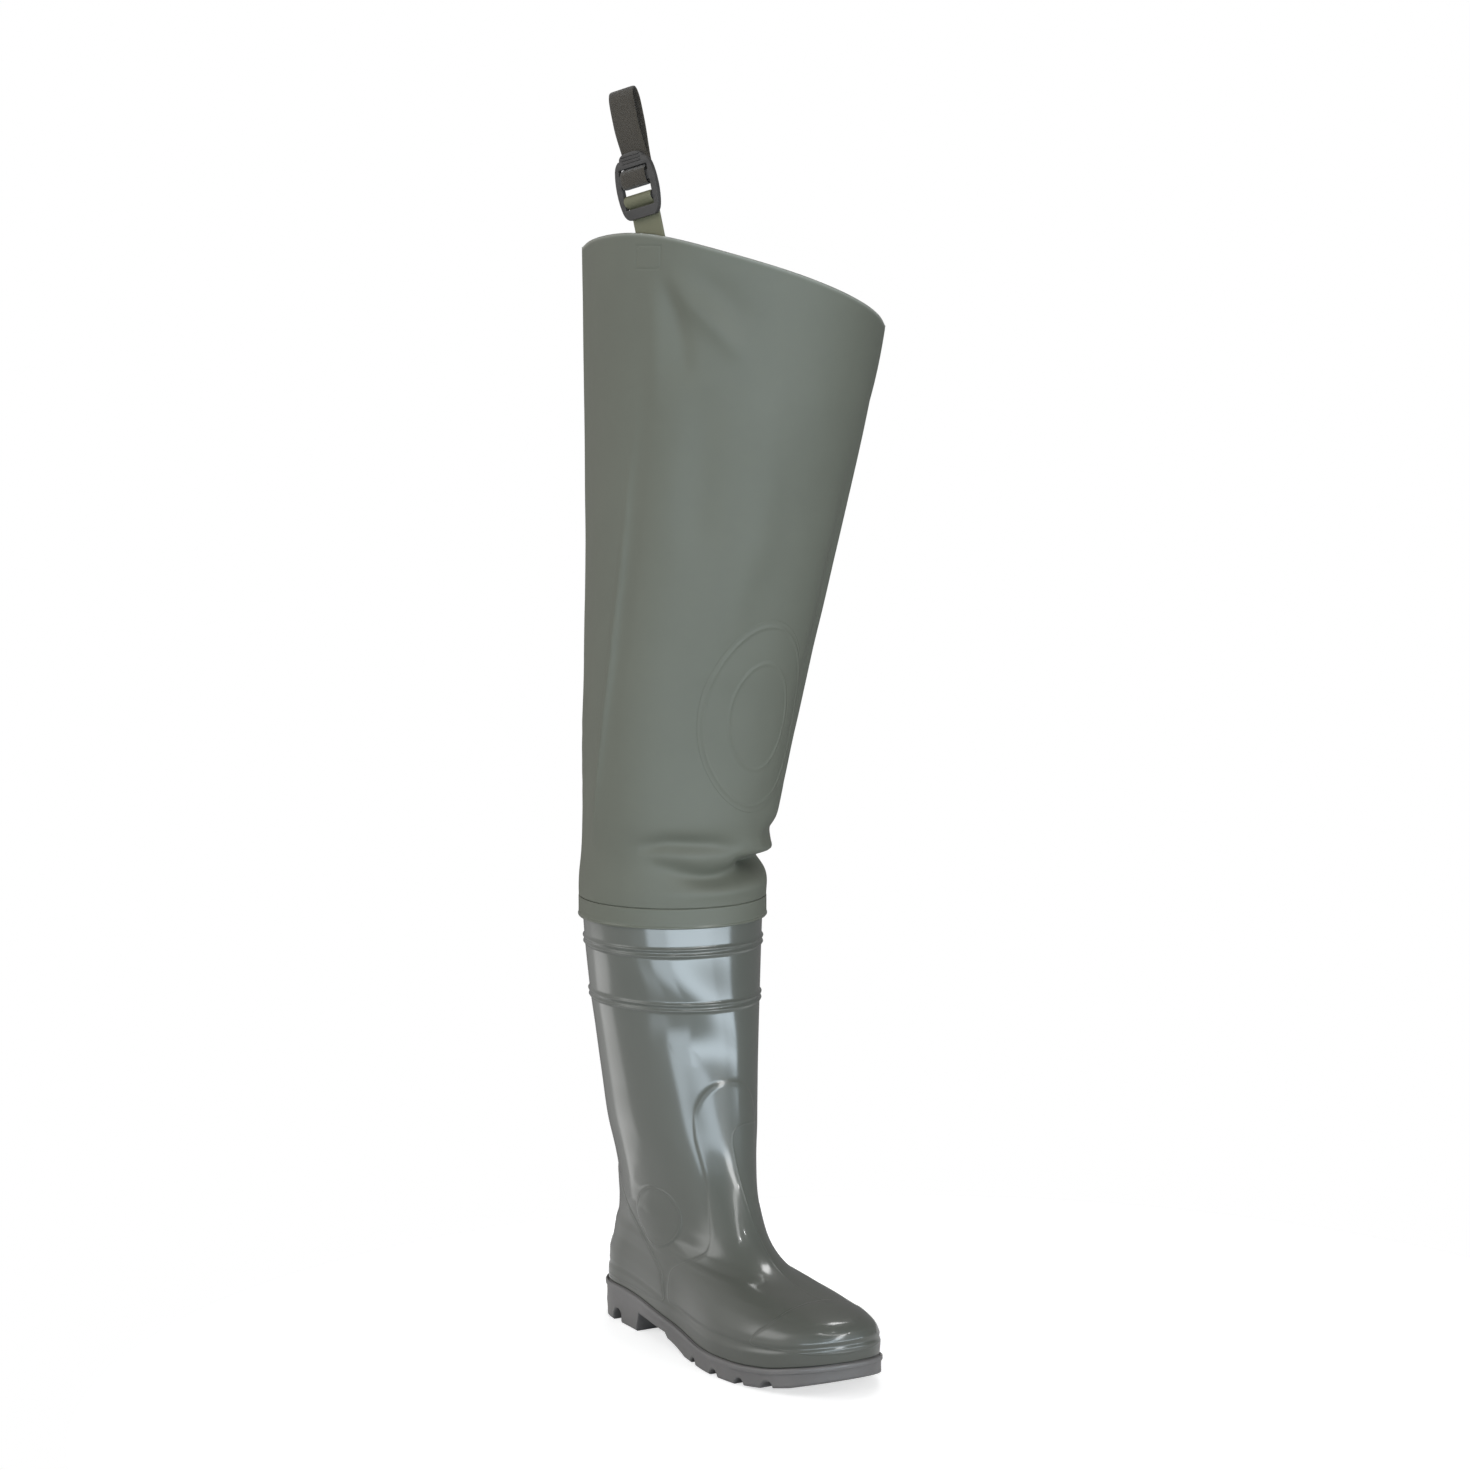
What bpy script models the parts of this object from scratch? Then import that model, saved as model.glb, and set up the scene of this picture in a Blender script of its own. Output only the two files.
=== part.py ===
"""Right thigh wader: a moulded boot, a coated-cloth leg welded to its rim, and a belt strap.

Metres, +Z up. The toe points to -Y, the wearer's outer side is -X, and the origin is on the floor
at the centre of the heel's tread. A station is a distance forward of the back of the sole.
"""

import math
from collections import namedtuple

import bmesh
import bpy
import numpy as np
from mathutils import Matrix, Vector

MM = 0.001
GAP = 0.3 * MM

# Driving sizes of the boot
SOLE_LENGTH = 311 * MM
HEEL_CENTRE = 38 * MM
BOOT_WALL = 2.8 * MM
RIM_HEIGHT = 334 * MM
SHAFT_X, SHAFT_Y = 7.5 * MM, -18 * MM
RIM_RADIUS = 70 * MM
RIB_HEIGHTS = (260.5 * MM, 303 * MM)
RIB_RAISE, RIB_HALF = 1.4 * MM, 4.5 * MM
FOXING_RAISE, FOXING_TOP = 1.5 * MM, 38.5 * MM
SOLE_LIP = 3.4 * MM
SPUR_RAISE, SPUR_HEIGHT, SPUR_HALF = 3.5 * MM, 56 * MM, 4.5 * MM
BACKSTAY_RAISE, BACKSTAY_LOW, BACKSTAY_HIGH = 1.1 * MM, 174 * MM, 316 * MM
BACKSTAY_TURN, BACKSTAY_EDGE = 0.11, 0.145

# Driving sizes of the leg
CLOTH = 1.0 * MM
LEG_FOOT = 321 * MM
COLLAR_MEAN, COLLAR_OUTER_RISE, COLLAR_BACK_RISE = 803.5 * MM, 37.5 * MM, -6 * MM
BAND_LOW, BAND_HIGH, BAND_THICK = 319.5 * MM, 335 * MM, 1.2 * MM

# Panels moulded proud of the boot: how far they stand out, how deep they root in the wall, and their places
PANEL_RAISE, TOE_CAP_RAISE, ANKLE_DISC_RAISE = 0.8 * MM, 1.5 * MM, 0.6 * MM
COUNTER_ROOT, GUARD_ROOT, TOE_CAP_ROOT, ANKLE_DISC_ROOT = 1.3 * MM, 1.1 * MM, 1.6 * MM, 0.9 * MM
ANKLE_DISC_STATION, ANKLE_DISC_HEIGHT = 103 * MM, 96 * MM
ANKLE_DISC_HALF_LENGTH, ANKLE_DISC_HALF_HEIGHT = 27 * MM, 22 * MM

# Driving sizes of the knee patch and the inseam tape
KNEE_ANGLE, KNEE_HEIGHT = math.radians(281), 482 * MM
KNEE_HALF_WIDTH, KNEE_HALF_HEIGHT, KNEE_THICK = 50 * MM, 74 * MM, 0.9 * MM
TAPE_HALF_WIDTH, TAPE_THICK = 6 * MM, 0.8 * MM

# Driving sizes of the belt strap, whose frame stands on the collar's edge: depth outwards and height up
STRAP_ANGLE = math.radians(203)
STRAP_LEAN_BACK, STRAP_LEAN_OUT = math.radians(13.5), math.radians(1)
STRAP_INSET = -1.3 * MM
STRAP_PULL, STRAP_PULL_SPREAD = 4 * MM, math.radians(26)
TAB_WIDTH, TAB_THICK, TAB_DEPTH, TAB_LOW = 25.5 * MM, 1.0 * MM, -3.7 * MM, -42 * MM
BUCKLE_WIDTH, BUCKLE_THICK, BUCKLE_LOW, BUCKLE_HIGH = 37 * MM, 4 * MM, 12.5 * MM, 56.5 * MM
BUCKLE_BOW, BUCKLE_CORNER = 3.5 * MM, 3 * MM
SLOT_HALF_WIDTH = 13.4 * MM
SLOTS = ((20 * MM, 24.5 * MM), (28.5 * MM, 38.5 * MM), (45.5 * MM, 52 * MM))
THUMB_HALF_WIDTH, THUMB_HIGH = 11 * MM, 61.5 * MM
WEBBING_WIDTH, WEBBING_THICK = 23 * MM, 1.5 * MM

COLOURS = {
    "boot_green": ((0.085, 0.100, 0.085), 0.22),
    "sole_grey": ((0.070, 0.070, 0.068), 0.55),
    "leg_green": ((0.120, 0.135, 0.110), 0.50),
    "webbing_brown": ((0.035, 0.030, 0.026), 0.85),
    "buckle_black": ((0.030, 0.029, 0.028), 0.40),
    "insole_felt": ((0.300, 0.300, 0.290), 0.95),
}

# Boot sections from the sole's edge to the rim. Each is a closed ring in a plane tilted from its back
# point to its front point, in millimetres: half widths at the rear, middle and fore stations on the outer
# and inner side, and the lengths and powers of its rounded ends. follow is the share of the sole's wave.
Section = namedtuple(
    "Section",
    "height front_s front_z back_s back_z rear_out rear_in mid_out mid_in fore_out fore_in "
    "rear_end fore_end rear_power fore_power centre_x tip_x follow",
)
SECTIONS = (
    Section(27, 307, 26.5, 4.0, 29.3, 35, 32, 39, 31, 54, 50, 40, 86, 2.2, 2.3, 0, 14, 1.0),
    Section(37, 308, 37.5, 3.5, 40.0, 35, 32, 39, 32, 54, 50, 42, 84, 2.2, 2.3, 0, 14, 1.0),
    Section(48, 306.5, 46.5, 4.0, 51.0, 35, 32, 39, 33, 53, 47, 44, 84, 2.2, 2.3, 0, 14, 0.8),
    Section(58, 300, 53.5, 5.0, 61.0, 34, 32, 38, 33, 49, 41, 46, 80, 2.1, 2.2, 0, 14, 0.5),
    Section(66, 287, 57.5, 6.0, 69.0, 33, 31, 37, 33, 43, 34, 48, 80, 2.1, 2.1, 0, 14, 0.25),
    Section(73, 269, 60.5, 7.0, 77.0, 33, 31, 36, 33, 37, 29, 52, 88, 2.1, 2.0, 0, 13, 0.1),
    Section(81, 241, 63.0, 7.5, 86.0, 33, 31, 36, 33, 34, 27, 56, 96, 2.0, 2.0, 1, 10, 0.0),
    Section(91, 212, 70.0, 7.0, 97.0, 34, 33, 37, 34, 34, 30, 60, 96, 2.0, 2.0, 2, 7, 0.0),
    Section(103, 188, 84.0, 5.0, 109.0, 36, 36, 39, 37, 36, 33, 66, 94, 2.0, 2.0, 3, 6, 0.0),
    Section(118, 167, 110.0, 2.5, 122.0, 40, 40, 42, 41, 40, 38, 72, 84, 2.0, 2.0, 5, 6, 0.0),
    Section(136, 154.5, 137.0, -0.5, 138.0, 45, 45, 46, 45, 45, 44, 76, 78, 2.0, 2.0, 6, 7, 0.0),
    Section(162, 147, 168.0, -5.0, 160.0, 51, 51, 51, 51, 51, 51, 76, 76, 2.0, 2.0, 7, 7, 0.0),
    Section(196, 141.5, 201.0, -9.5, 194.0, 55, 55, 55, 55, 55, 55, 75.5, 75.5, 2.0, 2.0, 7.5, 7.5, 0.0),
    Section(230, 136.5, 231.5, -12.5, 229.5, 59, 59, 59, 59, 59, 59, 74.5, 74.5, 2.0, 2.0, 7.5, 7.5, 0.0),
    Section(266, 131, 266.0, -14.0, 266.0, 64, 64, 64, 64, 64, 64, 72.5, 72.5, 2.0, 2.0, 7.5, 7.5, 0.0),
    Section(304, 127, 304.0, -14.0, 304.0, 68, 68, 68, 68, 68, 68, 70.5, 70.5, 2.0, 2.0, 7.5, 7.5, 0.0),
    Section(334, 126, 334.0, -14.0, 334.0, 70, 70, 70, 70, 70, 70, 70.0, 70.0, 2.0, 2.0, 7.5, 7.5, 0.0),
)
REAR_SHARE, MID_SHARE, FORE_SHARE = 0.15, 0.42, 0.70

# Side view of the sole: height in millimetres of its deck and of its tread at each station
Profile = namedtuple("Profile", "station height")
DECK = (
    Profile(0, 29),
    Profile(45, 29),
    Profile(75, 28),
    Profile(110, 24.5),
    Profile(150, 19),
    Profile(190, 16),
    Profile(228, 15.5),
    Profile(265, 18),
    Profile(290, 22.5),
    Profile(310, 26.5),
)
TREAD = (
    Profile(0, 1.5),
    Profile(7, 0),
    Profile(78, 0),
    Profile(82, 14.5),
    Profile(126, 11),
    Profile(130, 7),
    Profile(160, 0),
    Profile(236, 0),
    Profile(262, 2.5),
    Profile(285, 6.5),
    Profile(310, 14),
)

# Leg sections: centre and half sizes in millimetres at each height
LegSection = namedtuple("LegSection", "height centre_x centre_y half_x half_y")
LEG_SECTIONS = (
    LegSection(321, 7.5, -18, 71.4, 71.4),
    LegSection(335, 7.5, -18, 71.4, 71.4),
    LegSection(346, 7.5, -18, 72.5, 72.5),
    LegSection(369, 9, -19, 73, 71),
    LegSection(404, 11.5, -24, 77, 72),
    LegSection(444, 15.5, -26, 81, 72),
    LegSection(484, 20.5, -28, 85, 74),
    LegSection(519, 25.5, -29, 88, 78),
    LegSection(557, 31.5, -29, 92, 84),
    LegSection(604, 38.5, -29, 96, 91),
    LegSection(654, 45.5, -28, 101, 99),
    LegSection(704, 51.5, -28, 106, 106),
    LegSection(764, 57, -28, 112, 112),
    LegSection(864, 64, -28, 120, 120),
)

# Folds of the slack cloth over the boot: a ridge has a positive depth, in millimetres.
# An angle of 0 is the inner side, 90 the back, 180 the outer side and 270 the front.
Fold = namedtuple("Fold", "angle height depth half_height half_angle slope")
FOLDS = (
    Fold(312, 365, -16, 7.5, 44, 0.10),
    Fold(315, 349, 3, 8, 60, 0.0),
    Fold(318, 381, 4, 9, 50, 0.10),
    Fold(60, 353, -7, 9, 50, -0.05),
    Fold(55, 375, 3, 14, 48, 0.0),
    Fold(58, 400, -9, 10, 46, 0.06),
    Fold(52, 432, 3, 20, 44, 0.0),
    Fold(55, 467, -6, 13, 40, 0.10),
)

# Side-view outlines of the moulded panels, as stations and heights in millimetres
Corner = namedtuple("Corner", "station height")
COUNTER = (
    Corner(-30, 34),
    Corner(124, 34),
    Corner(119, 54),
    Corner(105, 64),
    Corner(85, 75),
    Corner(64, 90),
    Corner(44, 105),
    Corner(24, 117),
    Corner(0, 128),
    Corner(-30, 132),
)
INSTEP_GUARD = (
    Corner(340, 34),
    Corner(340, 198),
    Corner(143, 198),
    Corner(136, 191),
    Corner(134, 180),
    Corner(137, 160),
    Corner(143, 140),
    Corner(150, 120),
    Corner(156, 100),
    Corner(161, 86),
    Corner(160, 77),
    Corner(150, 72),
    Corner(138, 66),
    Corner(128, 60),
    Corner(128, 34),
)
TOE_CAP = (
    Corner(340, 34),
    Corner(340, 90),
    Corner(256, 90),
    Corner(260, 66),
    Corner(265, 58),
    Corner(265, 50),
    Corner(258, 44),
    Corner(250, 34),
)

# Path of the webbing in the strap's frame, in millimetres: up behind the buckle, over at the belt, down
# behind the buckle's top bar, forward through its upper slot, round its middle bar and up to the sewn lap
Bend = namedtuple("Bend", "depth height")
WEBBING_PATH = (
    Bend(-7.9, 39.75),
    Bend(-7.9, 57),
    Bend(-8.8, 70),
    Bend(-9.5, 81),
    Bend(-9.5, 97),
    Bend(-8.6, 104),
    Bend(-6.6, 108),
    Bend(-3.9, 108),
    Bend(-1.9, 104),
    Bend(-1.0, 97),
    Bend(-1.0, 81),
    Bend(-2.2, 71),
    Bend(-3.7, 62),
    Bend(-3.7, 51.6),
    Bend(0.0, 49.1),
    Bend(3.4, 46.2),
    Bend(3.4, 38.05),
    Bend(1.6, 35.9),
    Bend(-1.6, 35.9),
    Bend(-4.4, 37.5),
    Bend(-5.9, 40.75),
    Bend(-5.9, 59),
)

# Grooves across the tread between its lugs, at these stations in millimetres
FORE_GROOVES = (178, 212, 242, 268)
HEEL_GROOVES = (20, 46)
FORE_GROOVE_WIDTH, FORE_GROOVE_DEPTH = 10 * MM, 5 * MM
HEEL_GROOVE_WIDTH, HEEL_GROOVE_DEPTH = 13 * MM, 10 * MM


def slopes_of(xs, ys):
    """Slopes of a smooth curve through points that keeps their rises and falls."""
    steps = np.diff(xs)
    rises = np.diff(ys) / steps
    slopes = np.zeros(len(xs))
    for i in range(1, len(xs) - 1):
        if rises[i - 1] * rises[i] > 0:
            before, after = 2 * steps[i] + steps[i - 1], steps[i] + 2 * steps[i - 1]
            slopes[i] = (before + after) / (before / rises[i - 1] + after / rises[i])
    slopes[0], slopes[-1] = rises[0], rises[-1]
    return slopes


def smooth_column(rows, key, column, at):
    """A table's column, in metres, on a smooth curve through its rows."""
    xs = np.array([getattr(row, key) for row in rows], float)
    ys = np.array([getattr(row, column) for row in rows], float)
    slopes = slopes_of(xs, ys)
    x = np.clip(np.asarray(at, float) / MM, xs[0], xs[-1])
    i = np.clip(np.searchsorted(xs, x, side="right") - 1, 0, len(xs) - 2)
    step = xs[i + 1] - xs[i]
    u = (x - xs[i]) / step
    start = (1 + 2 * u) * (1 - u) ** 2 * ys[i] + u * (1 - u) ** 2 * step * slopes[i]
    end = u * u * (3 - 2 * u) * ys[i + 1] + u * u * (u - 1) * step * slopes[i + 1]
    return (start + end) * MM


def straight_column(rows, key, column, at):
    """A table's column, in metres, on straight lines between its rows."""
    xs = [getattr(row, key) for row in rows]
    ys = [getattr(row, column) for row in rows]
    return np.interp(np.asarray(at, float) / MM, xs, ys) * MM


def ease(value, low, high):
    """0 below low, 1 above high and smooth between them."""
    u = np.clip((value - low) / (high - low), 0, 1)
    return u * u * (3 - 2 * u)


def rounded_end(distance, length, power):
    """Share of the full width at a distance from a rounded end of the given length."""
    u = np.clip(1 - distance / length, 0, 1)
    return np.maximum(1 - u**power, 0) ** (1 / power)


def deck_height(station):
    return smooth_column(DECK, "station", "height", station)


def tread_height(station):
    return straight_column(TREAD, "station", "height", station)


def boot_form(height, turn):
    """Outer form of the boot, without its raised details. A turn of 0 is the back, pi the front, and the
    outer side lies between them."""
    height, turn = np.broadcast_arrays(np.asarray(height, float), np.asarray(turn, float))

    def at(column):
        return smooth_column(SECTIONS, "height", column, height)

    share = (1 - np.cos(turn)) / 2
    length = at("front_s") - at("back_s")
    station = at("back_s") + share * length
    outer = np.sin(turn) >= 0
    stations = (REAR_SHARE, MID_SHARE, FORE_SHARE)
    ends = [at("rear_out"), at("mid_out"), at("fore_out")], [at("rear_in"), at("mid_in"), at("fore_in")]
    widths = []
    for rear, mid, fore in ends:
        back_half = rear + (mid - rear) * ease(share, stations[0], stations[1])
        widths.append(back_half + (fore - mid) * ease(share, stations[1], stations[2]))
    width = np.where(outer, widths[0], widths[1])
    width = width * rounded_end(share * length, at("rear_end"), at("rear_power") / MM)
    width = width * rounded_end((1 - share) * length, at("fore_end"), at("fore_power") / MM)
    axis = at("centre_x") + (at("tip_x") - at("centre_x")) * ease(share, 0.35, 1.0)
    wave = deck_height(station) - (
        deck_height(0) + (deck_height(SOLE_LENGTH) - deck_height(0)) * share
    )
    rise = at("back_z") + (at("front_z") - at("back_z")) * share
    return np.stack(
        [
            axis + np.where(outer, -width, width),
            HEEL_CENTRE - station,
            rise + at("follow") / MM * wave,
        ],
        axis=-1,
    )


def normals_of(form, first, second, step_first, step_second):
    """Unit normals of a form that points away from its axis."""
    along = form(first + step_first, second) - form(first - step_first, second)
    round_it = form(first, second + step_second) - form(first, second - step_second)
    normal = np.cross(round_it, along)
    return normal / np.linalg.norm(normal, axis=-1, keepdims=True)


def boot_skin(height, turn, lift):
    """The boot's form moved out along its normals."""
    height, turn = np.broadcast_arrays(np.asarray(height, float), np.asarray(turn, float))
    normal = normals_of(boot_form, height, turn, 0.2 * MM, 0.002)
    return boot_form(height, turn) + normal * np.asarray(lift)[..., None]


def boot_lift(height, turn):
    """How far the moulded details stand out: foxing, ribs, backstay and the spur at the heel."""
    point = boot_form(height, turn)
    lift = FOXING_RAISE * (1 - ease(height, FOXING_TOP - 1 * MM, FOXING_TOP + 1 * MM))
    for rib in RIB_HEIGHTS:
        off = np.abs(height - rib)
        bead = ease(RIB_HALF - off, 0, 1.2 * MM) - 0.7 * ease(1.4 * MM - off, 0, 0.6 * MM)
        lift = lift + RIB_RAISE * np.maximum(bead, 0)
    from_back = np.abs(np.angle(np.exp(1j * turn)))
    strip = ease(BACKSTAY_EDGE - from_back, 0, BACKSTAY_EDGE - BACKSTAY_TURN)
    span = ease(height, BACKSTAY_LOW, BACKSTAY_LOW + 12 * MM) * ease(BACKSTAY_HIGH - height, 0, 4 * MM)
    lift = np.maximum(lift, BACKSTAY_RAISE * strip * span)
    ledge = ease(SPUR_HALF + 1.5 * MM - np.abs(point[..., 2] - SPUR_HEIGHT), 0, 3 * MM)
    reach = np.cos(np.clip(from_back * 1.5, 0, math.pi / 2)) ** 1.5
    return lift + SPUR_RAISE * ledge * reach


def leg_form(level, angle):
    """Outer face of the leg with its folds. A level of 0 is the foot of the leg and 1 the collar."""
    level, angle = np.broadcast_arrays(np.asarray(level, float), np.asarray(angle, float))
    across, along = np.cos(angle), np.sin(angle)
    collar = COLLAR_MEAN - COLLAR_OUTER_RISE * across + COLLAR_BACK_RISE * along
    collar = collar + STRAP_PULL * np.exp(-(((angle - STRAP_ANGLE) / STRAP_PULL_SPREAD) ** 2))
    height = LEG_FOOT + level * (collar - LEG_FOOT)

    def at(column):
        return smooth_column(LEG_SECTIONS, "height", column, height)

    push = np.zeros_like(height)
    for fold in FOLDS:
        off_angle = np.degrees(np.angle(np.exp(1j * (angle - math.radians(fold.angle)))))
        centre = (fold.height + fold.slope * off_angle) * MM
        fade = np.exp(-((off_angle / fold.half_angle) ** 2))
        push = push + fold.depth * MM * fade * np.exp(-(((height - centre) / (fold.half_height * MM)) ** 2))
    push = push * ease(height, BAND_HIGH, BAND_HIGH + 14 * MM)
    return np.stack(
        [
            at("centre_x") + (at("half_x") + push) * across,
            at("centre_y") + (at("half_y") + push) * along,
            height,
        ],
        axis=-1,
    )


def leg_skin(level, angle, lift):
    """The leg's outer face moved out along its normals."""
    level, angle = np.broadcast_arrays(np.asarray(level, float), np.asarray(angle, float))
    normal = normals_of(leg_form, level, angle, 0.001, 0.002)
    return leg_form(level, angle) + normal * np.asarray(lift)[..., None]


def material_of(slot):
    found = bpy.data.materials.get(slot)
    if found:
        return found
    colour, roughness = COLOURS[slot]
    made = bpy.data.materials.new(slot)
    made.use_nodes = True
    shader = made.node_tree.nodes["Principled BSDF"]
    shader.inputs["Base Color"].default_value = (*colour, 1)
    shader.inputs["Roughness"].default_value = roughness
    made.diffuse_color = (*colour, 1)
    return made


def collection_of(name):
    found = bpy.data.collections.get(name)
    if found is None:
        found = bpy.data.collections.new(name)
        bpy.context.scene.collection.children.link(found)
    return found


def add_object(name, data, slot):
    made = bpy.data.objects.new(name, data)
    collection_of("thigh_wader").objects.link(made)
    made.data.materials.append(material_of(slot))
    return made


def add_cutter(name, data):
    made = bpy.data.objects.new(name, data)
    collection_of("cutters").objects.link(made)
    made.hide_render = True
    made.display_type = "WIRE"
    return made


def shade(mesh, degrees=35):
    mesh.shade_smooth()
    mesh.set_sharp_from_angle(angle=math.radians(degrees))


def grid_mesh(name, points, rows_closed, columns_closed):
    """A mesh over a grid of points whose rows or columns may join end to end."""
    rows, columns = points.shape[:2]
    shape = bmesh.new()
    corners = [[shape.verts.new(points[i, j]) for j in range(columns)] for i in range(rows)]
    for i in range(rows if rows_closed else rows - 1):
        for j in range(columns if columns_closed else columns - 1):
            above, beside = (i + 1) % rows, (j + 1) % columns
            shape.faces.new(
                (corners[i][j], corners[i][beside], corners[above][beside], corners[above][j])
            )
    bmesh.ops.recalc_face_normals(shape, faces=shape.faces)
    mesh = bpy.data.meshes.new(name)
    shape.to_mesh(mesh)
    shape.free()
    shade(mesh)
    return mesh


def boot_turns():
    """Turns round the boot: close together at the backstay's edges and even elsewhere."""
    half = [0, BACKSTAY_TURN, BACKSTAY_EDGE, *np.linspace(0.32, math.pi, 16)]
    return np.array(half + [2 * math.pi - turn for turn in reversed(half[1:-1])])


def boot_heights():
    """Heights of the boot's outer rings, with a ring at each edge of its foxing, spur and ribs."""
    heights = [27, 37.6, 39.4, 43.5, 47, 50, 55, 58.5, 62, 66, 70, 75, 81, 88, 96, 105, 117, 131]
    heights += [146, 162, 180, 200, 221, 243]
    for rib in RIB_HEIGHTS:
        heights += [rib / MM + off for off in (-4.5, -3.3, -0.8, 0.8, 3.3, 4.5)]
    heights += [278, 314, 320, 334]
    return np.array(sorted(heights)) * MM


def boot_inner_heights():
    """Heights of the rings of the boot's inner wall, from the rim down: closest over the toe and instep."""
    heights = [334, 304, 272, 243, 221, 200, 180, 162, 146, 131, 117, 105, 96, 88, 81, 75, 70, 66, 62]
    heights += [58.5, 54, 48, 41, 27]
    return np.array(heights) * MM


def make_boot_upper():
    """Foot and shaft moulded in one, open under the foot and at the rim."""
    turns = boot_turns()
    outer_heights = boot_heights()[:, None]
    inner_heights = boot_inner_heights()[:, None]
    outer = boot_skin(outer_heights, turns[None, :], boot_lift(outer_heights, turns[None, :]))
    inner = boot_skin(inner_heights, turns[None, :], np.full((len(inner_heights), len(turns)), -BOOT_WALL))
    outer[0, :, 2] = deck_height(HEEL_CENTRE - outer[0, :, 1]) + GAP
    inner[-1, :, 2] = deck_height(HEEL_CENTRE - inner[-1, :, 1]) + GAP
    inner[0, :, 2] = RIM_HEIGHT
    mesh = grid_mesh("boot_upper", np.concatenate([outer, inner]), True, True)
    return add_object("boot_upper", mesh, "boot_green")


def sole_stations():
    """Stations along the sole: close together at its round ends and at the edges of its tread."""
    heel = [4.6, 6.6, 10, 15, 23, 36, 58]
    edges = [76, 78, 82, 86, 104, 126, 130, 145, 160, 175]
    toe = [192, 210, 229, 248, 264, 276, 286.5, 294.5, 300.5, 304.4, 306.5]
    return np.array(heel + edges + toe) * MM


def sole_ring(outset, heights):
    """A ring round the sole, moved out from the foot of the upper, at the heights of its stations."""
    foot = SECTIONS[0]
    shares = (sole_stations() / MM - foot.back_s) / (foot.front_s - foot.back_s)
    half = np.concatenate([[0], np.arccos(1 - 2 * shares), [math.pi]])
    plan = boot_form(foot.height * MM, np.concatenate([half, 2 * math.pi - half[-2:0:-1]]))[:, :2]
    stations = HEEL_CENTRE - plan[:, 1]
    tangent = np.roll(plan, -1, axis=0) - np.roll(plan, 1, axis=0)
    tangent = tangent / np.linalg.norm(tangent, axis=-1, keepdims=True)
    outward = np.stack([tangent[:, 1], -tangent[:, 0]], axis=-1)
    return np.concatenate([plan + outward * outset, heights(stations)[:, None]], axis=-1)


def stacked_mesh(name, rings):
    """A solid of rings, closed below and above by strips from one side of the ring to the other."""
    shape = bmesh.new()
    loops = [[shape.verts.new(point) for point in ring] for ring in rings]
    count = len(loops[0])
    for low, high in zip(loops, loops[1:]):
        for i in range(count):
            j = (i + 1) % count
            shape.faces.new((low[i], low[j], high[j], high[i]))
    for ring in (loops[0], loops[-1]):
        for i in range(count // 2):
            near, far = (i + 1), (count - i - 1)
            corners = [ring[i], ring[near], ring[far], ring[(count - i) % count]]
            shape.faces.new(list(dict.fromkeys(corners)))
    bmesh.ops.recalc_face_normals(shape, faces=shape.faces)
    mesh = bpy.data.meshes.new(name)
    shape.to_mesh(mesh)
    shape.free()
    shade(mesh)
    return mesh


def groove_cutter(name, station, width, depth):
    """A round-topped channel across the tread, square to the tread at its station."""
    ahead = 3 * MM
    slope = (tread_height(station + ahead) - tread_height(station - ahead)) / (2 * ahead)
    radius = width / 2
    top = depth - radius
    below = 20 * MM
    steps = 8
    arc = [math.pi * i / steps for i in range(steps + 1)]
    outline = [(radius * math.cos(a), top + radius * math.sin(a)) for a in arc]
    outline += [(-radius, -below), (radius, -below)]
    curve = bpy.data.curves.new(name, "CURVE")
    curve.dimensions = "2D"
    curve.fill_mode = "BOTH"
    curve.extrude = 80 * MM
    spline = curve.splines.new("POLY")
    spline.points.add(len(outline) - 1)
    for point, (x, y) in zip(spline.points, outline):
        point.co = (x, y, 0, 1)
    spline.use_cyclic_u = True
    cutter = add_cutter(name, curve)
    turned = Matrix(((0, 0, 1), (-1, 0, 0), (0, 1, 0))).to_4x4()
    tilt = Matrix.Rotation(-math.atan(slope), 4, "X")
    place = Matrix.Translation((0, HEEL_CENTRE - station, float(tread_height(station))))
    cutter.matrix_world = place @ tilt @ turned
    return solid_mesh_of(cutter)


def solid_mesh_of(curve_object):
    """The same shape as a welded mesh object, in place of a curve."""
    bpy.context.view_layer.update()
    graph = bpy.context.evaluated_depsgraph_get()
    mesh = bpy.data.meshes.new_from_object(curve_object.evaluated_get(graph))
    shape = bmesh.new()
    shape.from_mesh(mesh)
    bmesh.ops.remove_doubles(shape, verts=shape.verts, dist=1e-6)
    bmesh.ops.recalc_face_normals(shape, faces=shape.faces)
    shape.to_mesh(mesh)
    shape.free()
    name, place = curve_object.name, curve_object.matrix_world.copy()
    home = curve_object.users_collection[0]
    hidden, display = curve_object.hide_render, curve_object.display_type
    bpy.data.objects.remove(curve_object)
    made = bpy.data.objects.new(name, mesh)
    home.objects.link(made)
    made.matrix_world = place
    made.hide_render = hidden
    made.display_type = display
    return made


def cut(solid, cutter):
    modifier = solid.modifiers.new(f"cut {cutter.name}", "BOOLEAN")
    modifier.operation = "DIFFERENCE"
    modifier.object = cutter
    modifier.solver = "EXACT"


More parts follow.
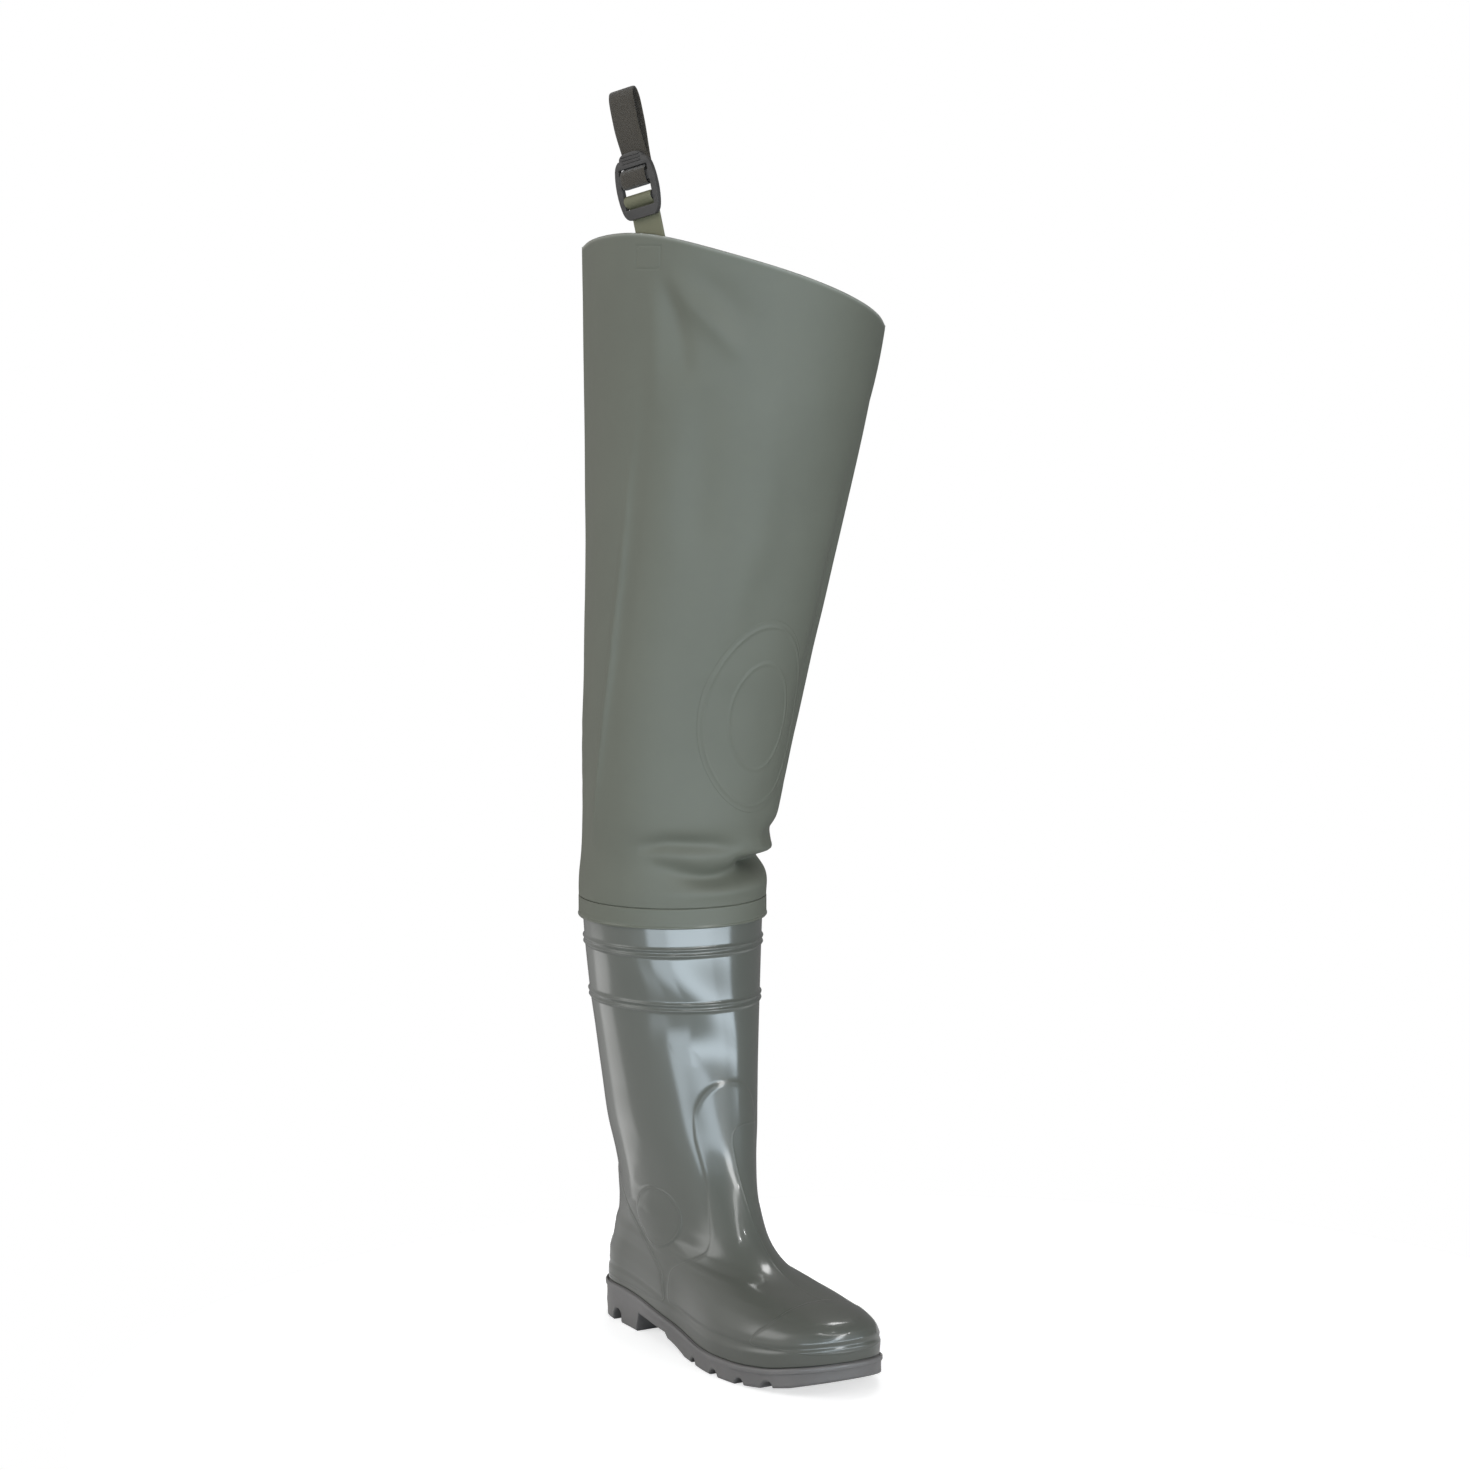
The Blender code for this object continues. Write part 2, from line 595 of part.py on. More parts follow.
def make_outsole():
    """Sole with its heel, arch, lugs and the lip that stands out under the upper."""

    def above_tread(rise):
        return lambda s: tread_height(s) + rise

    def below_deck(drop):
        return lambda s: deck_height(s) - drop

    def between(share):
        return lambda s: tread_height(s) * (1 - share) + deck_height(s) * share

    rings = [
        sole_ring(SOLE_LIP - 2.2 * MM, above_tread(0)),
        sole_ring(SOLE_LIP - 0.9 * MM, above_tread(2 * MM)),
        sole_ring(SOLE_LIP - 1.1 * MM, between(0.5)),
        sole_ring(SOLE_LIP - 0.9 * MM, below_deck(4.2 * MM)),
        sole_ring(SOLE_LIP, below_deck(3.4 * MM)),
        sole_ring(SOLE_LIP - 0.2 * MM, below_deck(0.9 * MM)),
        sole_ring(SOLE_LIP - 1.0 * MM, below_deck(0.2 * MM)),
        sole_ring(SOLE_LIP - 2.2 * MM, below_deck(1.2 * MM)),
        sole_ring(SOLE_LIP - 3.2 * MM, below_deck(0)),
    ]
    sole = add_object("outsole", stacked_mesh("outsole", rings), "sole_grey")
    for i, station in enumerate(FORE_GROOVES):
        cut(sole, groove_cutter(f"fore_groove_{i}", station * MM, FORE_GROOVE_WIDTH, FORE_GROOVE_DEPTH))
    for i, station in enumerate(HEEL_GROOVES):
        cut(sole, groove_cutter(f"heel_groove_{i}", station * MM, HEEL_GROOVE_WIDTH, HEEL_GROOVE_DEPTH))
    return sole


def make_insole():
    """Felt insole that lies on the sole's deck inside the upper."""
    inset = BOOT_WALL + 1.2 * MM
    thick = 3.5 * MM
    rings = [
        sole_ring(-inset, lambda s: deck_height(s) + GAP),
        sole_ring(-inset, lambda s: deck_height(s) + GAP + thick),
    ]
    return add_object("insole", stacked_mesh("insole", rings), "insole_felt")


def leg_angles():
    return np.linspace(0, 2 * math.pi, 36, endpoint=False)


def leg_levels():
    """Levels of the leg's rings, closest where the cloth folds over the boot."""
    heights = [321, 335, 343, 351, 357, 363, 371, 381, 391, 402, 416, 434, 455, 480]
    low = (np.array(heights) * MM - LEG_FOOT) / (COLLAR_MEAN - LEG_FOOT)
    return np.concatenate([low, np.linspace(low[-1], 1, 7)[1:]])


def make_leg():
    """Tube of coated cloth, open at the collar and welded round the boot's rim."""
    levels, angles = leg_levels()[:, None], leg_angles()[None, :]
    shape = (levels.shape[0], angles.shape[1])
    outer = leg_skin(levels, angles, np.zeros(shape))
    inner = leg_skin(levels[::-1], angles, np.full(shape, -CLOTH))
    inner[0, :, 2] = outer[-1, :, 2]
    inner[-1, :, 2] = outer[0, :, 2]
    mesh = grid_mesh("leg", np.concatenate([outer, inner]), True, True)
    return add_object("leg", mesh, "leg_green")


def make_joint_band():
    """Strip of the leg's cloth welded round the joint of leg and boot."""
    angles = leg_angles()
    inside = RIM_RADIUS + 0.4 * MM + CLOTH + GAP
    bevel = 0.4 * MM
    outside = inside + BAND_THICK
    rows = (
        (inside, BAND_LOW),
        (outside - bevel, BAND_LOW),
        (outside, BAND_LOW + bevel),
        (outside, BAND_HIGH - bevel),
        (outside - bevel, BAND_HIGH),
        (inside, BAND_HIGH),
    )
    rings = [
        np.stack(
            [SHAFT_X + r * np.cos(angles), SHAFT_Y + r * np.sin(angles), np.full(len(angles), z)], axis=-1
        )
        for r, z in rows
    ]
    return add_object("joint_band", grid_mesh("joint_band", np.array(rings), True, True), "leg_green")


def flat_solid(name, outlines, half_thick, place, slot):
    """A plate between two faces, from a closed outline and the outlines of its holes."""
    curve = bpy.data.curves.new(name, "CURVE")
    curve.dimensions = "2D"
    curve.fill_mode = "BOTH"
    curve.extrude = half_thick
    for outline in outlines:
        spline = curve.splines.new("POLY")
        spline.points.add(len(outline) - 1)
        for point, (x, y) in zip(spline.points, outline):
            point.co = (x, y, 0, 1)
        spline.use_cyclic_u = True
    made = add_object(name, curve, slot) if slot else add_cutter(name, curve)
    made.matrix_world = place
    return solid_mesh_of(made)


def side_prism(name, corners):
    """A prism across the whole boot with the given side-view outline."""
    outline = [(corner.station * MM, corner.height * MM) for corner in corners]
    place = Matrix(((0, 0, 1, 0), (-1, 0, 0, HEEL_CENTRE), (0, 1, 0, 0), (0, 0, 0, 1)))
    return flat_solid(name, [outline], 120 * MM, place, None)


def boot_layer(name, low, high, raised, root):
    """A closed layer over the boot's form, from inside its wall to a panel's face."""
    turns = boot_turns()
    heights = boot_heights()
    heights = np.array([low, *heights[(heights > low) & (heights < high)], high])[:, None]
    shape = (len(heights), len(turns))
    outer = boot_skin(heights, turns[None, :], np.full(shape, raised))
    inner = boot_skin(heights[::-1], turns[None, :], np.full(shape, -root))
    return add_cutter(name, grid_mesh(name, np.concatenate([outer, inner]), True, True))


def add_panel(upper, name, layer, prism):
    """Mould a panel on the upper: the part of the layer inside the prism."""
    keep = layer.modifiers.new(f"keep {prism.name}", "BOOLEAN")
    keep.operation = "INTERSECT"
    keep.object = prism
    keep.solver = "EXACT"
    join = upper.modifiers.new(f"join {name}", "BOOLEAN")
    join.operation = "UNION"
    join.object = layer
    join.solver = "EXACT"


def ankle_outline():
    turns = [2 * math.pi * i / 16 for i in range(16)]
    return [
        Corner(
            (ANKLE_DISC_STATION + ANKLE_DISC_HALF_LENGTH * math.cos(turn)) / MM,
            (ANKLE_DISC_HEIGHT + ANKLE_DISC_HALF_HEIGHT * math.sin(turn)) / MM,
        )
        for turn in turns
    ]


def mould_panels(upper):
    """Counter, instep guard, toe cap and ankle discs, moulded in one with the upper."""
    panels = (
        ("counter", COUNTER, 41.3 * MM, 153 * MM, PANEL_RAISE, COUNTER_ROOT),
        ("instep_guard", INSTEP_GUARD, 41.3 * MM, 217 * MM, PANEL_RAISE, GUARD_ROOT),
        ("toe_cap", TOE_CAP, 41.8 * MM, 98 * MM, TOE_CAP_RAISE, TOE_CAP_ROOT),
        ("ankle_disc", ankle_outline(), 50 * MM, 141 * MM, ANKLE_DISC_RAISE, ANKLE_DISC_ROOT),
    )
    for name, corners, low, high, raised, root in panels:
        layer = boot_layer(f"{name}_layer", low, high, raised, root)
        add_panel(upper, name, layer, side_prism(f"{name}_outline", corners))


def leg_patch(levels, angles, low_lift, high_lift):
    """Points of a closed patch over the leg, whose rows and columns are those of the leg."""
    shape = (len(levels), len(angles))
    outer = leg_skin(levels[:, None], angles[None, :], np.full(shape, high_lift))
    inner = leg_skin(levels[:, None], angles[None, :], np.full(shape, low_lift))
    return outer, inner


def patch_mesh(name, outer, inner):
    """A thin solid between two open grids of the same size."""
    shape = bmesh.new()
    rows, columns = outer.shape[:2]
    top = [[shape.verts.new(outer[i, j]) for j in range(columns)] for i in range(rows)]
    under = [[shape.verts.new(inner[i, j]) for j in range(columns)] for i in range(rows)]
    for i in range(rows - 1):
        for j in range(columns - 1):
            for layer in (top, under):
                shape.faces.new((layer[i][j], layer[i][j + 1], layer[i + 1][j + 1], layer[i + 1][j]))
    edge = [(0, j) for j in range(columns)] + [(i, columns - 1) for i in range(1, rows)]
    edge += [(rows - 1, j) for j in range(columns - 2, -1, -1)] + [(i, 0) for i in range(rows - 2, 0, -1)]
    for (i, j), (k, m) in zip(edge, edge[1:] + edge[:1]):
        shape.faces.new((top[i][j], top[k][m], under[k][m], under[i][j]))
    bmesh.ops.recalc_face_normals(shape, faces=shape.faces)
    mesh = bpy.data.meshes.new(name)
    shape.to_mesh(mesh)
    shape.free()
    shade(mesh)
    return mesh


def make_knee_patch():
    """Oval reinforcement welded on the front of the knee."""
    angles, levels = leg_angles(), leg_levels()
    around = math.radians(48)
    beyond = 45 * MM
    near = np.abs(np.angle(np.exp(1j * (angles - KNEE_ANGLE)))) < around
    heights = LEG_FOOT + levels * (COLLAR_MEAN - LEG_FOOT)
    rows = np.abs(heights - KNEE_HEIGHT) < KNEE_HALF_HEIGHT + beyond
    outer, inner = leg_patch(levels[rows], angles[near], GAP, GAP + KNEE_THICK)
    patch = add_object("knee_patch", patch_mesh("knee_patch", outer, inner), "leg_green")
    turns = [2 * math.pi * i / 36 for i in range(36)]
    outline = [(KNEE_HALF_WIDTH * math.cos(t), KNEE_HALF_HEIGHT * math.sin(t)) for t in turns]
    facing = Vector((math.cos(KNEE_ANGLE), math.sin(KNEE_ANGLE), 0))
    centre = Vector(leg_form((KNEE_HEIGHT - LEG_FOOT) / (COLLAR_MEAN - LEG_FOOT), KNEE_ANGLE))
    turned = facing.to_track_quat("Z", "Y").to_matrix().to_4x4()
    place = Matrix.Translation((centre.x, centre.y, KNEE_HEIGHT)) @ turned
    prism = flat_solid("knee_outline", [outline], 60 * MM, place, None)
    keep = patch.modifiers.new("keep oval", "BOOLEAN")
    keep.operation = "INTERSECT"
    keep.object = prism
    keep.solver = "EXACT"
    return patch


def make_inseam_tape():
    """Tape welded over the seam down the inner side of the leg."""
    levels = leg_levels()[3:]
    angles = leg_angles()[[-1, 0, 1]]
    outer, inner = leg_patch(levels, angles, 2 * GAP, 2 * GAP + TAPE_THICK)
    for grid in (outer, inner):
        for side in (0, 2):
            reach = grid[:, side] - grid[:, 1]
            width = np.linalg.norm(reach, axis=-1, keepdims=True)
            grid[:, side] = grid[:, 1] + reach / width * TAPE_HALF_WIDTH
    return add_object("inseam_tape", patch_mesh("inseam_tape", outer, inner), "leg_green")


def strap_place():
    """Frame of the strap on the collar's edge: depth outwards, height up and width towards the back."""
    edge = Vector(leg_form(1.0, STRAP_ANGLE))
    outward = Vector((math.cos(STRAP_ANGLE), math.sin(STRAP_ANGLE), 0))
    back = Vector((math.sin(STRAP_ANGLE), -math.cos(STRAP_ANGLE), 0))
    up = Vector((0, 0, math.cos(STRAP_LEAN_OUT))) + outward * math.sin(STRAP_LEAN_OUT)
    up = up * math.cos(STRAP_LEAN_BACK) + back * math.sin(STRAP_LEAN_BACK)
    across = outward.cross(up).normalized()
    out = up.cross(across).normalized()
    axes = Matrix((out, up.normalized(), across)).transposed().to_4x4()
    return Matrix.Translation(edge + outward * STRAP_INSET) @ axes


def make_strap_tab():
    """Tab of coated cloth welded inside the collar and folded round the buckle's lower bar."""
    bar = (SLOTS[0][1] + SLOTS[1][0]) / 2
    entry = SLOTS[0][0]
    outer_radius = 4.2 * MM
    front, behind = TAB_DEPTH + TAB_THICK, TAB_DEPTH - TAB_THICK
    outline = [(behind, TAB_LOW), (front, TAB_LOW)]
    outline += [(front, entry - 1 * MM), (front + 0.5 * MM, entry + 0.7 * MM)]
    for i in range(15):
        turn = math.radians(-65 + 245 * i / 14)
        outline.append((outer_radius * math.cos(turn), bar + outer_radius * math.sin(turn)))
    outline.append((behind, entry))
    turns = [2 * math.pi * i / 16 for i in range(16)]
    hole_radius = outer_radius - TAB_THICK
    hole = [(hole_radius * math.cos(t), bar + hole_radius * math.sin(t)) for t in turns]
    return flat_solid("strap_tab", [outline, hole], TAB_WIDTH / 2, strap_place(), "leg_green")


def make_buckle():
    """Ladder buckle: two side rails, four cross bars and a thumb tab."""
    half = BUCKLE_WIDTH / 2
    middle = (BUCKLE_LOW + BUCKLE_HIGH) / 2
    side = []
    for i in range(13):
        height = BUCKLE_LOW + (BUCKLE_HIGH - BUCKLE_LOW) * i / 12
        off = (height - middle) / (BUCKLE_HIGH - middle)
        side.append((half - BUCKLE_BOW * off**2 - BUCKLE_CORNER * off**10, height))
    thumb = []
    for i in range(9):
        turn = math.pi / 2 * i / 8
        thumb.append(
            (
                THUMB_HALF_WIDTH * math.cos(turn) ** 0.6,
                BUCKLE_HIGH + (THUMB_HIGH - BUCKLE_HIGH) * math.sin(turn),
            )
        )
    right = side + thumb
    outline = right + [(-x, y) for x, y in reversed(right[:-1])]
    holes = [
        [(-SLOT_HALF_WIDTH, low), (SLOT_HALF_WIDTH, low), (SLOT_HALF_WIDTH, high), (-SLOT_HALF_WIDTH, high)]
        for low, high in SLOTS
    ]
    turned = Matrix(((0, 0, -1, 0), (0, 1, 0, 0), (1, 0, 0, 0), (0, 0, 0, 1)))
    return flat_solid("buckle", [outline] + holes, BUCKLE_THICK / 2, strap_place() @ turned, "buckle_black")


def make_webbing_strap():
    """Woven belt loop, threaded through the buckle."""
    path = np.array([(bend.depth, bend.height) for bend in WEBBING_PATH]) * MM
    ahead = np.diff(path, axis=0)
    ahead = ahead / np.linalg.norm(ahead, axis=-1, keepdims=True)
    side = np.stack([-ahead[:, 1], ahead[:, 0]], axis=-1)
    mitre = np.concatenate([side[:1], side[:-1] + side[1:], side[-1:]])
    length = np.concatenate([[1], 1 + (side[:-1] * side[1:]).sum(axis=-1), [1]])
    mitre = mitre / length[:, None] * WEBBING_THICK / 2
    outline = [tuple(point) for point in path + mitre] + [tuple(point) for point in (path - mitre)[::-1]]
    return flat_solid("webbing_strap", [outline], WEBBING_WIDTH / 2, strap_place(), "webbing_brown")


def main():
    for old in list(bpy.data.objects):
        bpy.data.objects.remove(old)
    make_outsole()
    mould_panels(make_boot_upper())
    make_insole()
    make_leg()
    make_joint_band()
    make_knee_patch()
    make_inseam_tape()
    make_strap_tab()
    make_buckle()
    make_webbing_strap()


main()
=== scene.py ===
"""Looks of a right thigh wader: a moulded boot, a coated-cloth leg welded to its rim, and a belt strap.

Metres, +Z up. The toe points to -Y, the wearer's outer side is -X, and the origin is on the floor at the
centre of the heel's tread. A station is a distance forward of the back of the sole.
"""

import math
from collections import namedtuple

import bpy
import numpy as np
from mathutils import Matrix, Vector


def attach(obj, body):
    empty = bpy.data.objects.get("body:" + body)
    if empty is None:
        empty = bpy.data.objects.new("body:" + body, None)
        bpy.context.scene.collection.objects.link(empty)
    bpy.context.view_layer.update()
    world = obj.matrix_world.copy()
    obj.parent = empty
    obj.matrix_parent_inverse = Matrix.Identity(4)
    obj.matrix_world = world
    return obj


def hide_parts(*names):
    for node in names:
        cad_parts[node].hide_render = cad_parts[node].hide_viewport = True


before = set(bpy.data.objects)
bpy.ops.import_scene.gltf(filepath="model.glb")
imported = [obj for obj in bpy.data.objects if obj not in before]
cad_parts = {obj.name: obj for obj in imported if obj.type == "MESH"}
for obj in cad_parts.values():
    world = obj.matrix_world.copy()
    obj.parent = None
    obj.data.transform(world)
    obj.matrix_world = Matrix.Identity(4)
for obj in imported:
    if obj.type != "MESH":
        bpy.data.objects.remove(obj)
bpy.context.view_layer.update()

# Boot upper: foot and shaft, moulded in one from soft green vinyl and left open under the foot.
# Foxing, ribs, backstay, heel spur, counter, instep guard, toe cap and ankle discs stand out of its wall.
# A fine moulded line runs along the edge of each panel and disc.
MM = 0.001
GAP = 0.3 * MM
FULL_TURN = 2 * math.pi
SOLE_LENGTH, HEEL_CENTRE, BOOT_WALL, RIM_HEIGHT = 311 * MM, 38 * MM, 2.8 * MM, 334 * MM
RIB_HEIGHTS, RIB_RAISE = (260.5 * MM, 303 * MM), 1.4 * MM
RIB_BEAD_OFFSET, RIB_BEAD_WIDTH = 2.3 * MM, 1.2 * MM
FOXING_RAISE, FOXING_TOP, FOXING_RAMP = 1.1 * MM, 38.5 * MM, 2.5 * MM
SPUR_RAISE, SPUR_HEIGHT, SPUR_HALF, SPUR_RAMP = 3.5 * MM, 56 * MM, 4.5 * MM, 3 * MM
BACKSTAY_RAISE, BACKSTAY_LOW, BACKSTAY_HIGH = 1.1 * MM, 174 * MM, 316 * MM
BACKSTAY_FOOT_RAMP, BACKSTAY_HEAD_RAMP = 12 * MM, 4 * MM
BACKSTAY_TURN, BACKSTAY_EDGE = 0.11, 0.145
COUNTER_RAISE, GUARD_RAISE, TOE_CAP_RAISE, DISC_RAISE = 0.8 * MM, 0.6 * MM, 1.3 * MM, 0.8 * MM
PANEL_RAMP = 1.6 * MM
DISC_CENTRE, DISC_HALF_LENGTH, DISC_HALF_HEIGHT = (103 * MM, 96 * MM), 27 * MM, 22 * MM
SLUMP_TURN, SLUMP_HEIGHT, SLUMP_SLOPE = 2.6, 258 * MM, -32 * MM
SLUMP_HALF, SLUMP_DEPTH, SLUMP_FADE, SLUMP_SPREAD = 25 * MM, 4.0 * MM, 3.2, 0.9
ARCH_START, ARCH_FULL = 110 * MM, 120 * MM
FAR_OUTSIDE = -50 * MM
WELD_DISTANCE = 0.001 * MM
BOOT_COLUMNS = 320

# Sections from the sole's edge to the rim, in millimetres: half widths at the rear, middle and fore
# stations on the outer and inner side, and the lengths and powers of the rounded ends.
Section = namedtuple(
    "Section",
    "height front_s front_z back_s back_z rear_out rear_in mid_out mid_in fore_out fore_in "
    "rear_end fore_end rear_power fore_power centre_x tip_x follow",
)
BOOT_SECTIONS = (
    Section(27, 307, 26.5, 4.0, 29.3, 35, 32, 39, 31, 54, 50, 40, 86, 2.2, 2.3, 0, 14, 1.0),
    Section(37, 308, 37.5, 3.5, 40.0, 35, 32, 39, 32, 54, 50, 42, 84, 2.2, 2.3, 0, 14, 1.0),
    Section(48, 306.5, 46.5, 4.0, 51.0, 35, 32, 39, 33, 53, 47, 44, 84, 2.2, 2.3, 0, 14, 0.8),
    Section(58, 300, 53.5, 5.0, 61.0, 34, 32, 38, 33, 49, 41, 46, 80, 2.1, 2.2, 0, 14, 0.5),
    Section(66, 287, 57.5, 6.0, 69.0, 33, 31, 37, 33, 43, 34, 48, 80, 2.1, 2.1, 0, 14, 0.25),
    Section(73, 269, 60.5, 7.0, 77.0, 33, 31, 36, 33, 37, 29, 52, 88, 2.1, 2.0, 0, 13, 0.1),
    Section(81, 241, 63.0, 7.5, 86.0, 33, 31, 36, 33, 34, 27, 56, 96, 2.0, 2.0, 1, 10, 0.0),
    Section(91, 212, 70.0, 7.0, 97.0, 34, 33, 37, 34, 34, 30, 60, 96, 2.0, 2.0, 2, 7, 0.0),
    Section(103, 188, 84.0, 5.0, 109.0, 36, 36, 39, 37, 36, 33, 66, 94, 2.0, 2.0, 3, 6, 0.0),
    Section(118, 167, 110.0, 2.5, 122.0, 40, 40, 42, 41, 40, 38, 72, 84, 2.0, 2.0, 5, 6, 0.0),
    Section(136, 154.5, 137.0, -0.5, 138.0, 45, 45, 46, 45, 45, 44, 76, 78, 2.0, 2.0, 6, 7, 0.0),
    Section(162, 147, 168.0, -5.0, 160.0, 51, 51, 51, 51, 51, 51, 76, 76, 2.0, 2.0, 7, 7, 0.0),
    Section(196, 141.5, 201.0, -9.5, 194.0, 55, 55, 55, 55, 55, 55, 75.5, 75.5, 2.0, 2.0, 7.5, 7.5, 0.0),
    Section(230, 136.5, 231.5, -12.5, 229.5, 59, 59, 59, 59, 59, 59, 74.5, 74.5, 2.0, 2.0, 7.5, 7.5, 0.0),
    Section(266, 131, 266.0, -14.0, 266.0, 64, 64, 64, 64, 64, 64, 72.5, 72.5, 2.0, 2.0, 7.5, 7.5, 0.0),
    Section(304, 127, 304.0, -14.0, 304.0, 68, 68, 68, 68, 68, 68, 70.5, 70.5, 2.0, 2.0, 7.5, 7.5, 0.0),
    Section(334, 126, 334.0, -14.0, 334.0, 70, 70, 70, 70, 70, 70, 70.0, 70.0, 2.0, 2.0, 7.5, 7.5, 0.0),
)
REAR_SHARE, SWING_SHARE, MID_SHARE, FORE_SHARE = 0.15, 0.35, 0.42, 0.70

# Side view of the sole's deck, which the foot of the upper follows: stations and heights in millimetres
DECK = (
    (0, 29), (45, 29), (75, 28), (110, 24.5), (150, 19), (190, 16), (228, 15.5), (265, 18), (290, 22.5),
    (310, 26.5),
)

# Side-view outlines of the moulded panels, and the front-view outline of the arch inside the guard
COUNTER = (
    (-30, 34), (124, 34), (119, 54), (105, 64), (85, 75), (64, 90), (44, 105), (24, 117), (0, 128),
    (-30, 132),
)
INSTEP_GUARD = (
    (340, 34), (340, 207), (146, 207), (141, 204), (138.5, 199), (136, 192), (134, 180), (137, 160),
    (143, 140), (150, 120), (156, 100), (161, 86), (160, 77), (150, 72), (138, 66), (128, 60), (128, 34),
)
TOE_CAP = ((340, 34), (340, 90), (256, 90), (260, 66), (265, 58), (265, 50), (258, 44), (250, 34))
INNER_ARCH = ((12, 60), (10, 110), (7, 145), (6, 160), (9, 168), (18, 171), (40, 168), (70, 160), (70, 60))


def slopes_of(xs, ys):
    """Slopes of a smooth curve through points that keeps their rises and falls."""
    steps = np.diff(xs)
    rises = np.diff(ys) / steps
    slopes = np.zeros(len(xs))
    for i in range(1, len(xs) - 1):
        if rises[i - 1] * rises[i] > 0:
            before, after = 2 * steps[i] + steps[i - 1], steps[i] + 2 * steps[i - 1]
            slopes[i] = (before + after) / (before / rises[i - 1] + after / rises[i])
    slopes[0], slopes[-1] = rises[0], rises[-1]
    return slopes


def smooth_curve(xs, ys, at):
    """Values in metres on a smooth curve through points in millimetres."""
    xs, ys = np.array(xs, float), np.array(ys, float)
    slopes = slopes_of(xs, ys)
    x = np.clip(np.asarray(at, float) / MM, xs[0], xs[-1])
    i = np.clip(np.searchsorted(xs, x, side="right") - 1, 0, len(xs) - 2)
    step = xs[i + 1] - xs[i]
    u = (x - xs[i]) / step
    start = (1 + 2 * u) * (1 - u) ** 2 * ys[i] + u * (1 - u) ** 2 * step * slopes[i]
    end = u * u * (3 - 2 * u) * ys[i + 1] + u * u * (u - 1) * step * slopes[i + 1]
    return (start + end) * MM


def smooth_column(rows, column, at):
    """A column of a table of sections, at the given heights."""
    return smooth_curve([row.height for row in rows], [getattr(row, column) for row in rows], at)


def ease(value, low, high):
    """0 below low, 1 above high and smooth between them."""
    u = np.clip((value - low) / (high - low), 0, 1)
    return u * u * (3 - 2 * u)


def rounded_end(distance, length, power):
    """Share of the full width at a distance from a rounded end of the given length."""
    u = np.clip(1 - distance / length, 0, 1)
    return np.maximum(1 - u**power, 0) ** (1 / power)


def deck_height(station):
    return smooth_curve([s for s, z in DECK], [z for s, z in DECK], station)


def boot_form(height, turn):
    """Outer form of the boot, without its raised details. A turn of 0 is the back, pi the front, and the
    outer side lies between them."""
    height, turn = np.broadcast_arrays(np.asarray(height, float), np.asarray(turn, float))

    def at(column):
        return smooth_column(BOOT_SECTIONS, column, height)

    share = (1 - np.cos(turn)) / 2
    length = at("front_s") - at("back_s")
    station = at("back_s") + share * length
    outer = np.sin(turn) >= 0
    widths = []
    for side in ("out", "in"):
        rear, mid, fore = at(f"rear_{side}"), at(f"mid_{side}"), at(f"fore_{side}")
        back_half = rear + (mid - rear) * ease(share, REAR_SHARE, MID_SHARE)
        widths.append(back_half + (fore - mid) * ease(share, MID_SHARE, FORE_SHARE))
    width = np.where(outer, widths[0], widths[1])
    width = width * rounded_end(share * length, at("rear_end"), at("rear_power") / MM)
    width = width * rounded_end((1 - share) * length, at("fore_end"), at("fore_power") / MM)
    axis = at("centre_x") + (at("tip_x") - at("centre_x")) * ease(share, SWING_SHARE, 1.0)
    level_deck = deck_height(0) + (deck_height(SOLE_LENGTH) - deck_height(0)) * share
    rise = at("back_z") + (at("front_z") - at("back_z")) * share
    return np.stack(
        [
            axis + np.where(outer, -width, width),
            HEEL_CENTRE - station,
            rise + at("follow") / MM * (deck_height(station) - level_deck),
        ],
        axis=-1,
    )


def normals_of(form, first, second, step_first, step_second):
    """Unit normals of a form that point away from its axis."""
    along = form(first + step_first, second) - form(first - step_first, second)
    round_it = form(first, second + step_second) - form(first, second - step_second)
    normal = np.cross(round_it, along)
    return normal / np.linalg.norm(normal, axis=-1, keepdims=True)


def boot_skin(height, turn, lift):
    """The boot's form moved out along its normals."""
    height, turn = np.broadcast_arrays(np.asarray(height, float), np.asarray(turn, float))
    normal = normals_of(boot_form, height, turn, step_first=0.2 * MM, step_second=0.002)
    return boot_form(height, turn) + normal * np.asarray(lift)[..., None]


def round_corners(corners, reach=7):
    """An outline in metres whose corners, in millimetres, are rounded over the given reach."""
    corners = np.array(corners, float)
    outline = []
    for before, here, after in zip(np.roll(corners, 1, 0), corners, np.roll(corners, -1, 0)):
        start = here + (before - here) * min(0.5, reach / np.linalg.norm(before - here))
        end = here + (after - here) * min(0.5, reach / np.linalg.norm(after - here))
        for u in np.linspace(0, 1, 6):
            outline.append((1 - u) ** 2 * start + 2 * u * (1 - u) * here + u * u * end)
    return np.array(outline) * MM


def edge_distance(across, up, outline):
    """Distance to an outline in a plane view, positive inside it."""
    nearest = np.full(across.shape, np.inf)
    inside = np.zeros(across.shape, bool)
    for (x0, y0), (x1, y1) in zip(outline, np.roll(outline, -1, axis=0)):
        dx, dy = x1 - x0, y1 - y0
        u = np.clip(((across - x0) * dx + (up - y0) * dy) / max(dx * dx + dy * dy, 1e-12), 0, 1)
        nearest = np.minimum(nearest, np.hypot(across - x0 - u * dx, up - y0 - u * dy))
        crosses = (y0 > up) != (y1 > up)
        inside ^= crosses & (across < x0 + (up - y0) * dx / (dy if abs(dy) > 1e-12 else 1e-12))
    return np.where(inside, nearest, -nearest)


